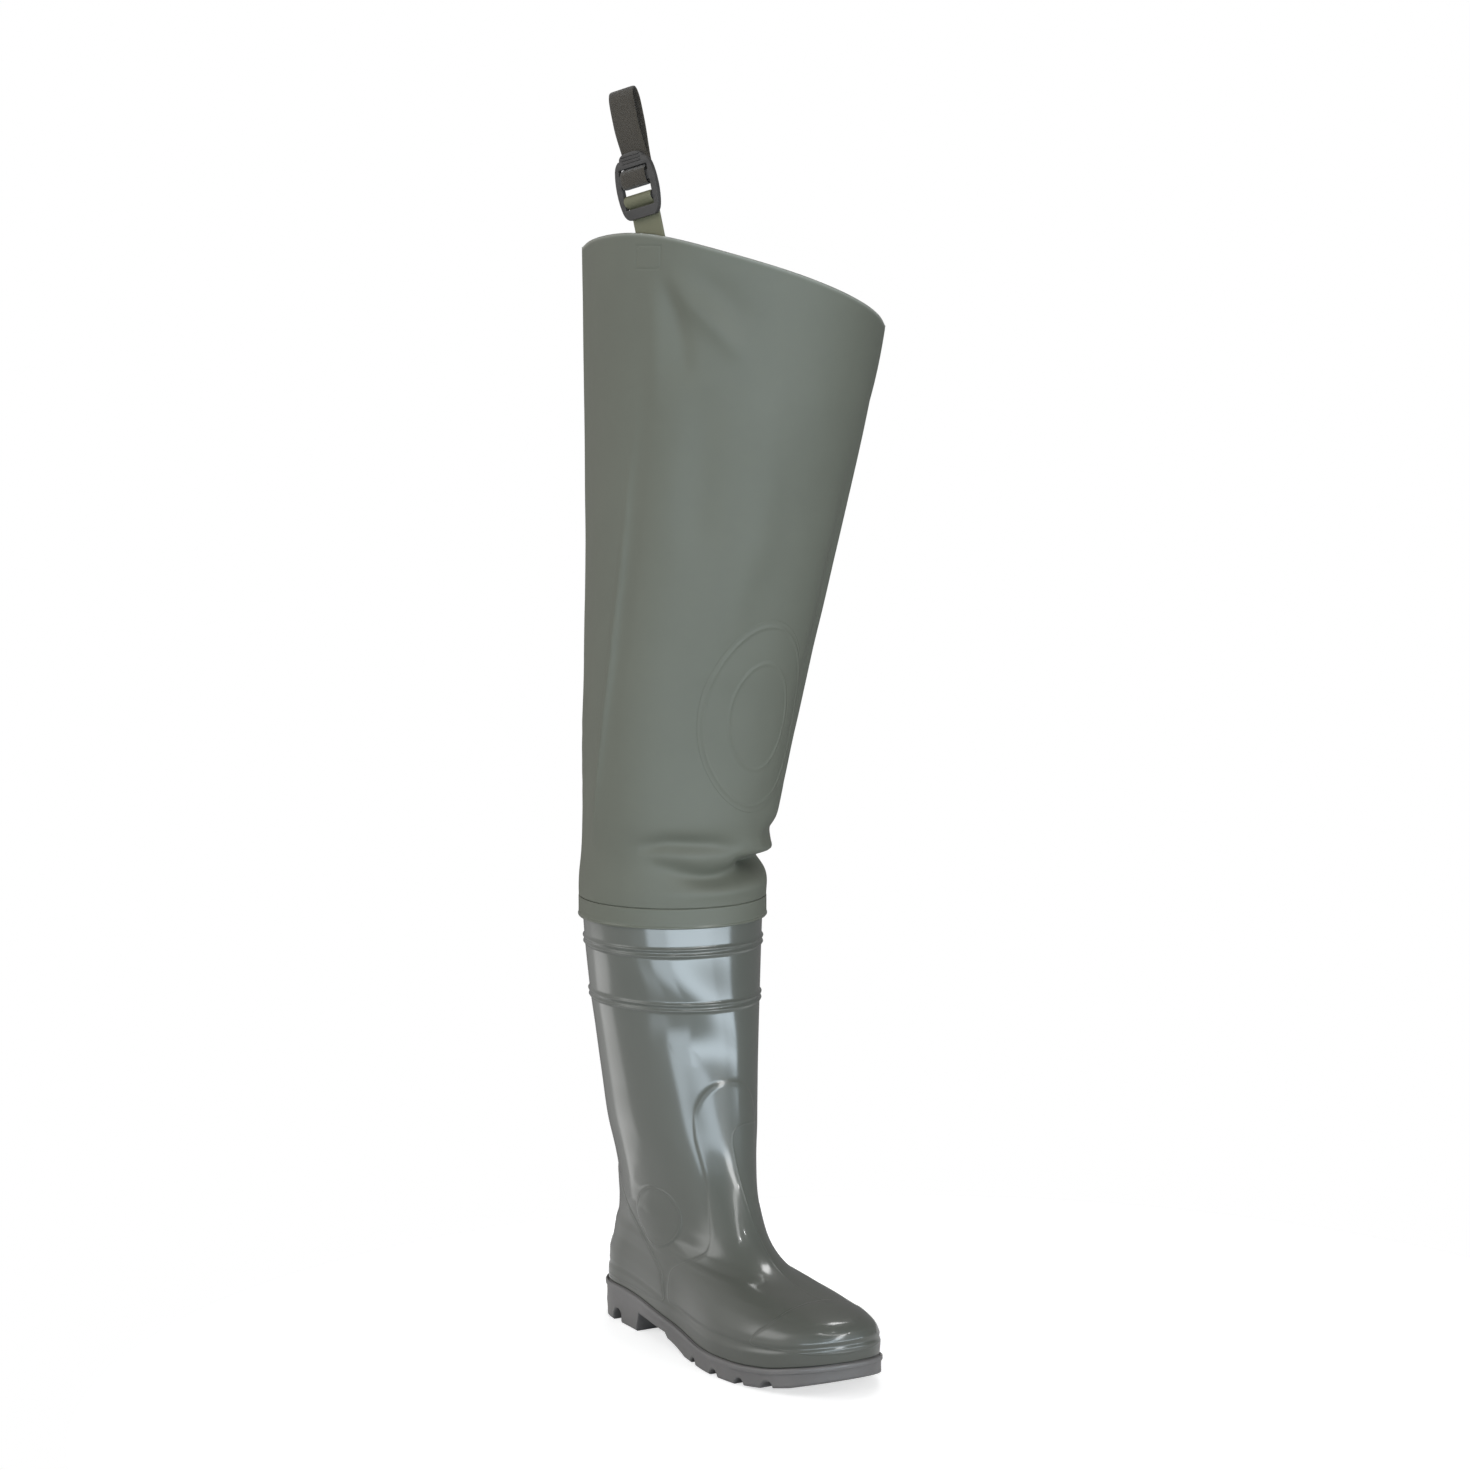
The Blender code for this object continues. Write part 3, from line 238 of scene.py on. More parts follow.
def boot_edges(point):
    """Distances of points of the boot to the edges of its panels, positive inside a panel."""
    station, height = HEEL_CENTRE - point[..., 1], point[..., 2]
    disc_along = (station - DISC_CENTRE[0]) / DISC_HALF_LENGTH
    disc_up = (height - DISC_CENTRE[1]) / DISC_HALF_HEIGHT
    front = ease(station, ARCH_START, ARCH_FULL)
    arch = edge_distance(point[..., 0], height, round_corners(INNER_ARCH))
    return {
        "counter_edge": edge_distance(station, height, round_corners(COUNTER)),
        "guard_edge": edge_distance(station, height, round_corners(INSTEP_GUARD)),
        "toe_edge": edge_distance(station, height, round_corners(TOE_CAP)),
        "disc_edge": (1 - np.hypot(disc_along, disc_up)) * DISC_HALF_HEIGHT,
        "arch_edge": arch * front + FAR_OUTSIDE * (1 - front),
    }


def shaft_slump(height, turn):
    """Soft slant across the front of the shaft, where the vinyl has sunk under its own weight."""
    aside = turn - SLUMP_TURN
    off = (height - SLUMP_HEIGHT - SLUMP_SLOPE * aside) / SLUMP_HALF
    fade = np.exp(-((off / SLUMP_FADE) ** 2)) * np.exp(-((aside / SLUMP_SPREAD) ** 2))
    return SLUMP_DEPTH * np.tanh(off) * fade


def boot_lift(height, turn, edges):
    """How far the moulded details stand out of the boot's form."""
    point = boot_form(height, turn)
    panel = np.zeros(edges["counter_edge"].shape)
    raises = (COUNTER_RAISE, GUARD_RAISE, TOE_CAP_RAISE, DISC_RAISE)
    for edge, raised in zip(("counter_edge", "guard_edge", "toe_edge", "disc_edge"), raises):
        panel = np.maximum(panel, raised * ease(edges[edge], -PANEL_RAMP, PANEL_RAMP))
    lift = panel * ease(height, FOXING_TOP, FOXING_TOP + 2 * FOXING_RAMP)
    lift = lift + FOXING_RAISE * (1 - ease(height, FOXING_TOP - FOXING_RAMP, FOXING_TOP + FOXING_RAMP))
    for rib in RIB_HEIGHTS:
        for side in (-RIB_BEAD_OFFSET, RIB_BEAD_OFFSET):
            lift = lift + RIB_RAISE * np.exp(-(((height - rib - side) / RIB_BEAD_WIDTH) ** 2))
    from_back = np.abs(np.angle(np.exp(1j * turn)))
    strip = ease(BACKSTAY_EDGE - from_back, 0, BACKSTAY_EDGE - BACKSTAY_TURN)
    span = ease(height, BACKSTAY_LOW, BACKSTAY_LOW + BACKSTAY_FOOT_RAMP)
    span = span * ease(BACKSTAY_HIGH - height, 0, BACKSTAY_HEAD_RAMP)
    lift = np.maximum(lift, BACKSTAY_RAISE * strip * span)
    ledge = ease(SPUR_HALF + SPUR_RAMP / 2 - np.abs(point[..., 2] - SPUR_HEIGHT), 0, SPUR_RAMP)
    reach = np.cos(np.clip(from_back * 3, 0, math.pi / 2)) ** 1.5
    return lift + SPUR_RAISE * ledge * reach + shaft_slump(height, turn)


def weld_and_face_out():
    """Merge the doubled points of the active piece and turn its faces outwards."""
    bpy.ops.object.mode_set(mode="EDIT")
    bpy.ops.mesh.select_all(action="SELECT")
    bpy.ops.mesh.remove_doubles(threshold=WELD_DISTANCE)
    bpy.ops.mesh.normals_make_consistent(inside=False)
    bpy.ops.object.mode_set(mode="OBJECT")


def rolled_sheet(name, points, marks=None):
    """A piece from a grid primitive whose rows and columns are laid on points and welded where they meet."""
    rows, columns = points.shape[:2]
    bpy.ops.object.select_all(action="DESELECT")
    bpy.ops.mesh.primitive_grid_add(x_subdivisions=columns - 1, y_subdivisions=rows - 1, size=1)
    piece = bpy.context.object
    piece.name = piece.data.name = name
    piece.data.vertices.foreach_set("co", points.astype(np.float32).ravel())
    for mark, values in (marks or {}).items():
        attribute = piece.data.attributes.new(mark, "FLOAT", "POINT")
        attribute.data.foreach_set("value", values.astype(np.float32).ravel())
    weld_and_face_out()
    bpy.ops.object.shade_smooth()
    return piece


def steps_between(*stretches):
    """Values in metres from stretches of (start, end, step) in millimetres, each without its end."""
    return np.concatenate([np.arange(start, end - step / 2, step) for start, end, step in stretches]) * MM


boot_turns = np.linspace(0, FULL_TURN, BOOT_COLUMNS + 1)[None, :]
boot_rows = steps_between(
    (27, 56, 1.05), (56, 106, 0.62), (106, 150, 1.3), (150, 254, 2.2), (254, 267, 0.6), (267, 297, 2.5),
    (297, 309, 0.6), (309, 334.5, 2.3),
)
boot_rows = np.append(boot_rows, RIM_HEIGHT)[:, None]
lining_rows = np.append(steps_between((334, 150, -9), (150, 27, -6)), 27 * MM)[:, None]
outside_edges = boot_edges(boot_form(boot_rows, boot_turns))
outside = boot_skin(boot_rows, boot_turns, boot_lift(boot_rows, boot_turns, outside_edges))
lining = boot_skin(lining_rows, boot_turns, np.full((len(lining_rows), BOOT_COLUMNS + 1), -BOOT_WALL))
outside[0, :, 2] = deck_height(HEEL_CENTRE - outside[0, :, 1]) + GAP
lining[-1, :, 2] = deck_height(HEEL_CENTRE - lining[-1, :, 1]) + GAP
lining[0, :, 2] = RIM_HEIGHT
no_line = np.full(lining.shape[:2], FAR_OUTSIDE)
boot_marks = {}
for mark, values in outside_edges.items():
    boot_marks[mark] = np.concatenate([values, no_line, values[:1]])
boot_upper = rolled_sheet("boot_upper_moulding", np.concatenate([outside, lining, outside[:1]]), boot_marks)


def add_node(tree, kind, inputs=None, **settings):
    """A node with its settings, and with sockets linked or constants put on its inputs."""
    made = tree.nodes.new(kind)
    for key, value in settings.items():
        setattr(made, key, value)
    for socket, value in (inputs or {}).items():
        if isinstance(value, bpy.types.NodeSocket):
            tree.links.new(value, made.inputs[socket])
        else:
            made.inputs[socket].default_value = value
    return made


def arithmetic(tree, operation, *values):
    return add_node(tree, "ShaderNodeMath", dict(enumerate(values)), operation=operation).outputs[0]


def new_group(name, inputs, outputs):
    """A shader node group with named inputs and outputs, and its two end nodes."""
    group = bpy.data.node_groups.new(name, "ShaderNodeTree")
    for socket, kind in inputs.items():
        group.interface.new_socket(socket, in_out="INPUT", socket_type=kind)
    for socket, kind in outputs.items():
        group.interface.new_socket(socket, in_out="OUTPUT", socket_type=kind)
    return group, group.nodes.new("NodeGroupInput"), group.nodes.new("NodeGroupOutput")


def make_uneven_colour():
    """Cloudy change of a colour's lightness, as moulded vinyl and coated cloth have."""
    group, given, result = new_group(
        "uneven_colour",
        {
            "Vector": "NodeSocketVector", "Color": "NodeSocketColor",
            "Scale": "NodeSocketFloat", "Amount": "NodeSocketFloat",
        },
        {"Color": "NodeSocketColor", "Cloud": "NodeSocketFloat"},
    )
    cloud = add_node(
        group, "ShaderNodeTexNoise",
        {
            "Vector": given.outputs["Vector"], "Scale": given.outputs["Scale"],
            "Detail": 4.0, "Roughness": 0.55,
        },
    )
    swing = arithmetic(group, "MULTIPLY_ADD", cloud.outputs["Fac"], 2.0, -1.0)
    value = arithmetic(group, "MULTIPLY_ADD", swing, given.outputs["Amount"], 1.0)
    shaded = add_node(group, "ShaderNodeHueSaturation", {"Color": given.outputs["Color"], "Value": value})
    group.links.new(shaded.outputs["Color"], result.inputs["Color"])
    group.links.new(cloud.outputs["Fac"], result.inputs["Cloud"])
    return group


def make_grain():
    """Height of a fine even grain."""
    group, given, result = new_group(
        "surface_grain",
        {"Vector": "NodeSocketVector", "Scale": "NodeSocketFloat", "Depth": "NodeSocketFloat"},
        {"Height": "NodeSocketFloat"},
    )
    grain = add_node(
        group, "ShaderNodeTexNoise",
        {"Vector": given.outputs["Vector"], "Scale": given.outputs["Scale"], "Detail": 2.0},
    )
    height = arithmetic(group, "MULTIPLY", grain.outputs["Fac"], given.outputs["Depth"])
    group.links.new(height, result.inputs["Height"])
    return group


def make_moulded_line():
    """Height of a fine raised line along the zero of a distance."""
    group, given, result = new_group(
        "moulded_line",
        {"Distance": "NodeSocketFloat", "Width": "NodeSocketFloat", "Depth": "NodeSocketFloat"},
        {"Height": "NodeSocketFloat"},
    )
    ratio = arithmetic(group, "DIVIDE", given.outputs["Distance"], given.outputs["Width"])
    square = arithmetic(group, "MULTIPLY", ratio, ratio)
    fall = arithmetic(group, "EXPONENT", arithmetic(group, "MULTIPLY", square, -1.0))
    group.links.new(arithmetic(group, "MULTIPLY", fall, given.outputs["Depth"]), result.inputs["Height"])
    return group


uneven_colour, surface_grain, moulded_line = make_uneven_colour(), make_grain(), make_moulded_line()


def use_group(tree, group, **values):
    """Place a node group in a material with its own values."""
    return add_node(tree, "ShaderNodeGroup", values, node_tree=group)


def new_material(name, **values):
    """A material with constants on its Principled shader, its node tree and its object coordinates."""
    made = bpy.data.materials.new(name)
    made.use_nodes = True
    tree = made.node_tree
    shader = tree.nodes["Principled BSDF"]
    for socket, value in values.items():
        shader.inputs[socket.replace("_", " ")].default_value = value
    place = tree.nodes.new("ShaderNodeTexCoord").outputs["Object"]
    return made, tree, shader, place


def sum_of(tree, heights):
    total = heights[0]
    for height in heights[1:]:
        total = arithmetic(tree, "ADD", total, height)
    return total


def raise_surface(tree, shader, heights):
    """Feed the sum of heights, in metres, to the shader's normal."""
    bump = add_node(
        tree, "ShaderNodeBump", {"Height": sum_of(tree, heights), "Distance": 1.0, "Strength": 1.0},
    )
    tree.links.new(bump.outputs["Normal"], shader.inputs["Normal"])


def attribute_of(tree, name):
    return add_node(tree, "ShaderNodeAttribute", attribute_name=name).outputs["Fac"]


BOOT_GREEN = (0.088, 0.092, 0.078, 1)
boot_vinyl, tree, shader, place = new_material(
    "boot_vinyl", Coat_Weight=1.0, Coat_Roughness=0.10, Specular_IOR_Level=0.5,
)
green = use_group(tree, uneven_colour, Vector=place, Color=BOOT_GREEN, Scale=14.0, Amount=0.08)
tree.links.new(green.outputs["Color"], shader.inputs["Base Color"])
gloss = arithmetic(tree, "MULTIPLY_ADD", green.outputs["Cloud"], 0.10, 0.28)
tree.links.new(gloss, shader.inputs["Roughness"])
boot_heights = [
    use_group(tree, surface_grain, Vector=place, Scale=1500.0, Depth=0.012 * MM).outputs["Height"],
]
LINE_WIDTH = 0.8 * MM
LINE_DEPTHS = {
    "counter_edge": 0.35 * MM, "guard_edge": 0.14 * MM, "toe_edge": 0.25 * MM, "disc_edge": 0.4 * MM,
    "arch_edge": 0.25 * MM,
}
for edge, depth in LINE_DEPTHS.items():
    line = use_group(tree, moulded_line, Distance=attribute_of(tree, edge), Width=LINE_WIDTH, Depth=depth)
    boot_heights.append(line.outputs["Height"])
raise_surface(tree, shader, boot_heights)
boot_upper.data.materials.append(boot_vinyl)
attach(boot_upper, "root")
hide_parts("boot_upper")

# Outsole: grey rubber moulded under the foot of the upper, with a heel, a raised arch and cross lugs.
# A lip runs round its top edge, and a narrow groove parts the lip from the upper.
SOLE_LIP, SOLE_COLUMNS = 3.4 * MM, 151
FOOT_INSET, DECK_INSET, CHAMFER_INSET, CHAMFER_RISE = 2.2 * MM, 3.2 * MM, 1.3 * MM, 0.7 * MM
SIDE_INSET, SIDE_HOLLOW, SIDE_RISE, SIDE_DROP = 0.9 * MM, 0.25 * MM, 2 * MM, 4.4 * MM
TREAD = (
    (0, 1.5), (7, 0), (78, 0), (82, 14.5), (126, 11), (130, 7), (160, 0), (236, 0), (262, 2.5),
    (285, 6.5), (310, 14),
)
FORE_GROOVES, FORE_GROOVE_WIDTH, FORE_GROOVE_DEPTH = (178, 212, 242, 268), 10, 5
HEEL_GROOVES, HEEL_GROOVE_WIDTH, HEEL_GROOVE_DEPTH = (20, 46), 13, 10
GROOVES = [(s, FORE_GROOVE_WIDTH / 2, FORE_GROOVE_DEPTH) for s in FORE_GROOVES]
GROOVES += [(s, HEEL_GROOVE_WIDTH / 2, HEEL_GROOVE_DEPTH) for s in HEEL_GROOVES]
WALL_STEP = 0.15


def tread_height(station):
    """Height of the tread with its round-topped cross grooves."""
    station = np.asarray(station, float) / MM
    height = np.interp(station, [s for s, z in TREAD], [z for s, z in TREAD])
    for centre, half, depth in GROOVES:
        off = np.abs(station - centre)
        arch = depth - half + np.sqrt(np.maximum(half * half - off * off, 0))
        height = height + np.where(off < half, arch, 0)
    return height * MM


def sole_turns():
    """Turns round the sole, with one at each corner of the tread and each wall of a groove."""
    foot = BOOT_SECTIONS[0]
    corners = [s for s, z in TREAD[1:-1]]
    for centre, half, depth in GROOVES:
        corners += [centre + side * (half + step) for side in (-1, 1) for step in (-WALL_STEP, WALL_STEP)]
    shares = (np.array(corners) - foot.back_s) / (foot.front_s - foot.back_s)
    half_turns = np.sort(np.concatenate([np.linspace(0, math.pi, SOLE_COLUMNS), np.arccos(1 - 2 * shares)]))
    return np.concatenate([half_turns, FULL_TURN - half_turns[-2::-1]])


sole_plan = boot_form(BOOT_SECTIONS[0].height * MM, sole_turns())[:, :2]
sole_tangent = np.gradient(np.concatenate([sole_plan[-2:-1], sole_plan, sole_plan[1:2]]), axis=0)[1:-1]
sole_tangent = sole_tangent / np.linalg.norm(sole_tangent, axis=-1, keepdims=True)
sole_outward = np.stack([sole_tangent[:, 1], -sole_tangent[:, 0]], axis=-1)
sole_stations = HEEL_CENTRE - sole_plan[:, 1]
sole_bottom, sole_top = tread_height(sole_stations), deck_height(sole_stations)


def sole_ring(outset, heights):
    return np.concatenate([sole_plan + sole_outward * outset, heights[:, None]], axis=-1)


def narrowed(ring, share):
    """A ring drawn in towards the line midway between its two sides."""
    middle = (ring + ring[::-1]) / 2
    return middle + (ring - middle) * share


sole_foot = sole_ring(SOLE_LIP - FOOT_INSET, sole_bottom)
sole_deck = sole_ring(SOLE_LIP - DECK_INSET, sole_top)
sole_rows = [narrowed(sole_foot, share) for share in (0, 0.3, 0.6, 0.85, 0.97)]
sole_rows += [sole_foot, sole_ring(SOLE_LIP - CHAMFER_INSET, sole_bottom + CHAMFER_RISE)]
for share in np.linspace(0, 1, 9):
    height = (sole_bottom + SIDE_RISE) * (1 - share) + (sole_top - SIDE_DROP) * share
    inset = SIDE_INSET + SIDE_HOLLOW * math.sin(math.pi * share)
    sole_rows.append(sole_ring(SOLE_LIP - inset, height))
LIP_PROFILE = (
    (0.7, 4.2), (0.1, 3.9), (0, 3.4), (0, 1.4), (0.2, 0.9), (0.6, 0.4), (1.0, 0.2), (1.7, 0.6),
    (2.2, 1.2), (2.8, 0.6),
)
for inset, drop in LIP_PROFILE:
    sole_rows.append(sole_ring(SOLE_LIP - inset * MM, sole_top - drop * MM))
sole_rows += [sole_deck] + [narrowed(sole_deck, share) for share in (0.7, 0.35, 0)]
outsole = rolled_sheet("outsole_moulding", np.array(sole_rows))
bpy.ops.object.shade_smooth_by_angle(angle=math.radians(38))

SOLE_GREY = (0.165, 0.159, 0.155, 1)
sole_rubber, tree, shader, place = new_material(
    "sole_rubber", Specular_IOR_Level=0.4, Coat_Weight=0.5, Coat_Roughness=0.15,
)
grey = use_group(tree, uneven_colour, Vector=place, Color=SOLE_GREY, Scale=35.0, Amount=0.22)
tree.links.new(grey.outputs["Color"], shader.inputs["Base Color"])
dull = arithmetic(tree, "MULTIPLY_ADD", grey.outputs["Cloud"], 0.2, 0.42)
tree.links.new(dull, shader.inputs["Roughness"])
sole_heights = [
    use_group(tree, surface_grain, Vector=place, Scale=60.0, Depth=0.12 * MM).outputs["Height"],
    use_group(tree, surface_grain, Vector=place, Scale=1800.0, Depth=0.05 * MM).outputs["Height"],
]
raise_surface(tree, shader, sole_heights)
outsole.data.materials.append(sole_rubber)
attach(outsole, "root")
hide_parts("outsole")

# Insole: a die-cut sheet of needled grey felt that lies loose on the sole's deck inside the boot.
# Its solid has the right shape already and only gets the felt's finish.
FELT_GREY = (0.30, 0.30, 0.29, 1)
insole_felt, tree, shader, place = new_material("insole_needled_felt", Roughness=0.95, Sheen_Weight=0.3)
felt = use_group(tree, uneven_colour, Vector=place, Color=FELT_GREY, Scale=420.0, Amount=0.35)
tree.links.new(felt.outputs["Color"], shader.inputs["Base Color"])
fibres = use_group(tree, surface_grain, Vector=place, Scale=900.0, Depth=0.4 * MM)
raise_surface(tree, shader, [fibres.outputs["Height"]])
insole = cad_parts["insole"]
insole.data.materials.clear()
insole.data.materials.append(insole_felt)

# Leg: a tube of vinyl-coated cloth, cut flat, welded down the inner side and round the boot's rim.
# It hangs slack over the boot, and keeps the pressed fold of its packing down the outer side.
CLOTH, LEG_FOOT, BAND_HIGH, FOLD_RAMP = 1.0 * MM, 321 * MM, 335 * MM, 14 * MM
COLLAR_MEAN, COLLAR_OUTER_RISE, COLLAR_BACK_RISE = 803.5 * MM, 37.5 * MM, -6 * MM
STRAP_ANGLE, STRAP_PULL, STRAP_PULL_SPREAD = math.radians(203), 4 * MM, math.radians(26)
LEG_COLUMNS = 288
LegSection = namedtuple("LegSection", "height centre_x centre_y half_x half_y")
LEG_SECTIONS = (
    LegSection(321, 7.5, -18, 71.4, 71.4),
    LegSection(337, 7.5, -18, 71.4, 71.4),
    LegSection(337.5, 7.5, -18, 72.6, 72.6),
    LegSection(339, 7.5, -18, 72.7, 72.7),
    LegSection(346, 7.5, -18, 72.9, 72.9),
    LegSection(369, 9, -19, 73, 71),
    LegSection(404, 11.5, -24, 77, 72),
    LegSection(444, 15.5, -26, 81, 72),
    LegSection(484, 20.5, -28, 85, 74),
    LegSection(519, 25.5, -29, 88, 78),
    LegSection(557, 31.5, -29, 92, 84),
    LegSection(604, 38.5, -29, 96, 91),
    LegSection(654, 45.5, -28, 101, 99),
    LegSection(704, 51.5, -28, 106, 106),
    LegSection(764, 57, -28, 112, 112),
    LegSection(864, 64, -28, 120, 120),
)

# Folds of the slack cloth: a ridge has a positive depth, in millimetres. An angle of 0 is the inner side,
# 90 the back, 180 the outer side and 270 the front.
Fold = namedtuple("Fold", "angle height depth half_height half_angle slope")
FOLDS = (
    Fold(312, 365, -16, 7.5, 44, 0.10),
    Fold(315, 349, 3, 8, 60, 0.0),
    Fold(318, 381, 4, 9, 50, 0.10),
    Fold(60, 353, -7, 9, 50, -0.05),
    Fold(55, 375, 3, 14, 48, 0.0),
    Fold(58, 400, -9, 10, 46, 0.06),
    Fold(52, 432, 3, 20, 44, 0.0),
    Fold(55, 467, -6, 13, 40, 0.10),
)

# Creases along lines of (angle, height): a ridge has a positive depth, and a sharp one comes to an edge
Crease = namedtuple("Crease", "depth half_width sharp line")
CREASES = (
    Crease(
        4.5, 5, True,
        ((199, 722), (195, 644), (193, 581), (191, 529), (188, 470), (184, 420), (180, 384)),
    ),
    Crease(
        -3.0, 12, False,
        ((203, 740), (199, 700), (198, 644), (196, 581), (194, 529), (191, 470), (187, 420)),
    ),
    Crease(4.0, 10, True, ((152, 880), (151, 840), (150, 720), (150, 600), (152, 480), (156, 420))),
    Crease(2.5, 10, True, ((330, 830), (330, 790), (330, 750), (330, 715))),
    Crease(2.0, 8, False, ((205, 815), (207, 790), (208, 755), (208, 715))),
    Crease(-2.6, 8, False, ((211, 815), (215, 790), (219, 765), (221, 735))),
    Crease(3.2, 8, False, ((211, 818), (221, 796), (232, 776), (243, 752))),
    Crease(-2.4, 11, False, ((222, 818), (236, 794), (247, 770))),
    Crease(-3.8, 16, False, ((228, 735), (230, 684), (231, 632), (237, 592))),
    Crease(4.0, 18, False, ((252, 735), (257, 661), (257, 610), (253, 560), (250, 500))),
    Crease(-6.0, 3, True, ((298, 372), (308, 369), (318, 366), (338, 366))),
    Crease(-5.0, 4, False, ((276, 373), (288, 370), (300, 367), (316, 365), (332, 366))),
    Crease(5.0, 4, False, ((296, 376), (312, 374), (330, 373.5), (348, 374))),
    Crease(-6.5, 8, False, ((298, 387), (314, 386), (332, 386), (350, 386))),
    Crease(-2.5, 8, False, ((306, 349), (330, 349), (352, 350))),
    Crease(-4.4, 6, False, ((215, 384), (235, 388), (262, 386), (285, 379))),
    Crease(-3.6, 6, False, ((224, 372), (245, 364), (262, 359), (280, 356))),
    Crease(1.6, 6, False, ((225, 378), (245, 377), (265, 373))),
    Crease(-3.0, 14, False, ((134, 700), (130, 620), (126, 540), (118, 470))),
    Crease(-3.0, 16, False, ((312, 700), (316, 620), (320, 530), (318, 450))),
    Crease(2.6, 14, False, ((350, 640), (348, 560), (344, 480), (338, 420))),
    Crease(-2.4, 9, False, ((40, 520), (60, 500), (82, 505), (100, 520))),
)

# The weld of the strap tab inside the collar shows through the cloth as a faint pressed outline
IMPRINT_ANGLE, IMPRINT_HEIGHT, IMPRINT_RADIUS = math.radians(203.8), 827 * MM, 118 * MM
IMPRINT_HALF_WIDTH, IMPRINT_HALF_HEIGHT = 11.5 * MM, 8.5 * MM
# Width of the band along the collar's cut edge that carries a painted highlight
RIM_HIGHLIGHT_WIDTH = 1.6 * MM


def crease_push(angle, height, radius):
    """How far the creases move the cloth out."""
    push = np.zeros_like(height)
    across = np.degrees(angle) % 360
    for crease in CREASES:
        line = np.array(crease.line, float)
        nearest, place_on_line = np.full(height.shape, np.inf), np.zeros(height.shape)
        for i, ((a0, z0), (a1, z1)) in enumerate(zip(line, line[1:])):
            scale = np.radians(1) * radius / MM
            off = ((across - a0 + 180) % 360 - 180) * scale
            run, climb, up = (a1 - a0) * scale, z1 - z0, height / MM - z0
            u = np.clip((off * run + up * climb) / (run * run + climb * climb), 0, 1)
            distance = np.hypot(off - u * run, up - u * climb)
            closer = distance < nearest
            nearest = np.where(closer, distance, nearest)
            place_on_line = np.where(closer, (i + u) / (len(line) - 1), place_on_line)
        fade = np.sin(np.clip(place_on_line, 0.02, 0.98) * math.pi) ** 0.7
        ratio = nearest / crease.half_width
        shape = np.exp(-ratio) if crease.sharp else np.exp(-ratio * ratio)
        push = push + crease.depth * MM * fade * shape
    return push


def collar_height(angle):
    """Height of the slanting collar, which the strap pulls up."""
    pull = STRAP_PULL * np.exp(-(((angle - STRAP_ANGLE) / STRAP_PULL_SPREAD) ** 2))
    return COLLAR_MEAN - COLLAR_OUTER_RISE * np.cos(angle) + COLLAR_BACK_RISE * np.sin(angle) + pull


def leg_form(level, angle):
    """Outer face of the leg with its folds. A level of 0 is the foot of the leg and 1 the collar."""
    level, angle = np.broadcast_arrays(np.asarray(level, float), np.asarray(angle, float))
    height = LEG_FOOT + level * (collar_height(angle) - LEG_FOOT)

    def at(column):
        return smooth_column(LEG_SECTIONS, column, height)

    push = crease_push(angle, height, at("half_x"))
    for fold in FOLDS:
        off_angle = np.degrees(np.angle(np.exp(1j * (angle - math.radians(fold.angle)))))
        centre = (fold.height + fold.slope * off_angle) * MM
        fade = np.exp(-((off_angle / fold.half_angle) ** 2))
        push = push + fold.depth * MM * fade * np.exp(-(((height - centre) / (fold.half_height * MM)) ** 2))
    push = push * ease(height, BAND_HIGH, BAND_HIGH + FOLD_RAMP)
    return np.stack(
        [
            at("centre_x") + (at("half_x") + push) * np.cos(angle),
            at("centre_y") + (at("half_y") + push) * np.sin(angle),
            height,
        ],
        axis=-1,
    )


def leg_skin(level, angle, lift):
    """The leg's outer face moved out along its normals."""
    level, angle = np.broadcast_arrays(np.asarray(level, float), np.asarray(angle, float))
    normal = normals_of(leg_form, level, angle, step_first=0.001, step_second=0.002)
    return leg_form(level, angle) + normal * np.asarray(lift)[..., None]


leg_angles = np.linspace(0, FULL_TURN, LEG_COLUMNS + 1)[None, :]
leg_rows = steps_between(
    (321, 335, 3), (335, 340, 0.5), (340, 410, 1.4), (410, 480, 2.2), (480, 798, 3.0), (798, 804, 0.8),
)
leg_rows = np.append(leg_rows, COLLAR_MEAN)
leg_levels = ((leg_rows - LEG_FOOT) / (COLLAR_MEAN - LEG_FOOT))[:, None]
lining_levels = np.concatenate([leg_levels[::-3], leg_levels[:1]])
leg_outside = leg_skin(leg_levels, leg_angles, np.zeros((len(leg_levels), LEG_COLUMNS + 1)))
leg_lining = leg_skin(lining_levels, leg_angles, np.full((len(lining_levels), LEG_COLUMNS + 1), -CLOTH))
leg_lining[0, :, 2] = leg_outside[-1, :, 2]
leg_lining[-1, :, 2] = leg_outside[0, :, 2]
imprint_aside = np.abs(leg_angles - IMPRINT_ANGLE) * IMPRINT_RADIUS
imprint_above = np.abs(leg_outside[..., 2] - IMPRINT_HEIGHT)
imprint_edge = np.minimum(IMPRINT_HALF_WIDTH - imprint_aside, IMPRINT_HALF_HEIGHT - imprint_above)
no_imprint = np.full(leg_lining.shape[:2], FAR_OUTSIDE)
leg_points = np.concatenate([leg_outside, leg_lining, leg_outside[:1]])
# Mask of a narrow band along the collar's cut edge, where a painted highlight lightens the cloth's colour
collar_rim_highlight = np.exp(-(((collar_height(leg_angles) - leg_points[..., 2]) / RIM_HIGHLIGHT_WIDTH) ** 2))
leg_marks = {
    "imprint_edge": np.concatenate([imprint_edge, no_imprint, imprint_edge[:1]]),
    "collar_rim_highlight": collar_rim_highlight,
}
leg = rolled_sheet("leg_cloth_tube", leg_points, leg_marks)

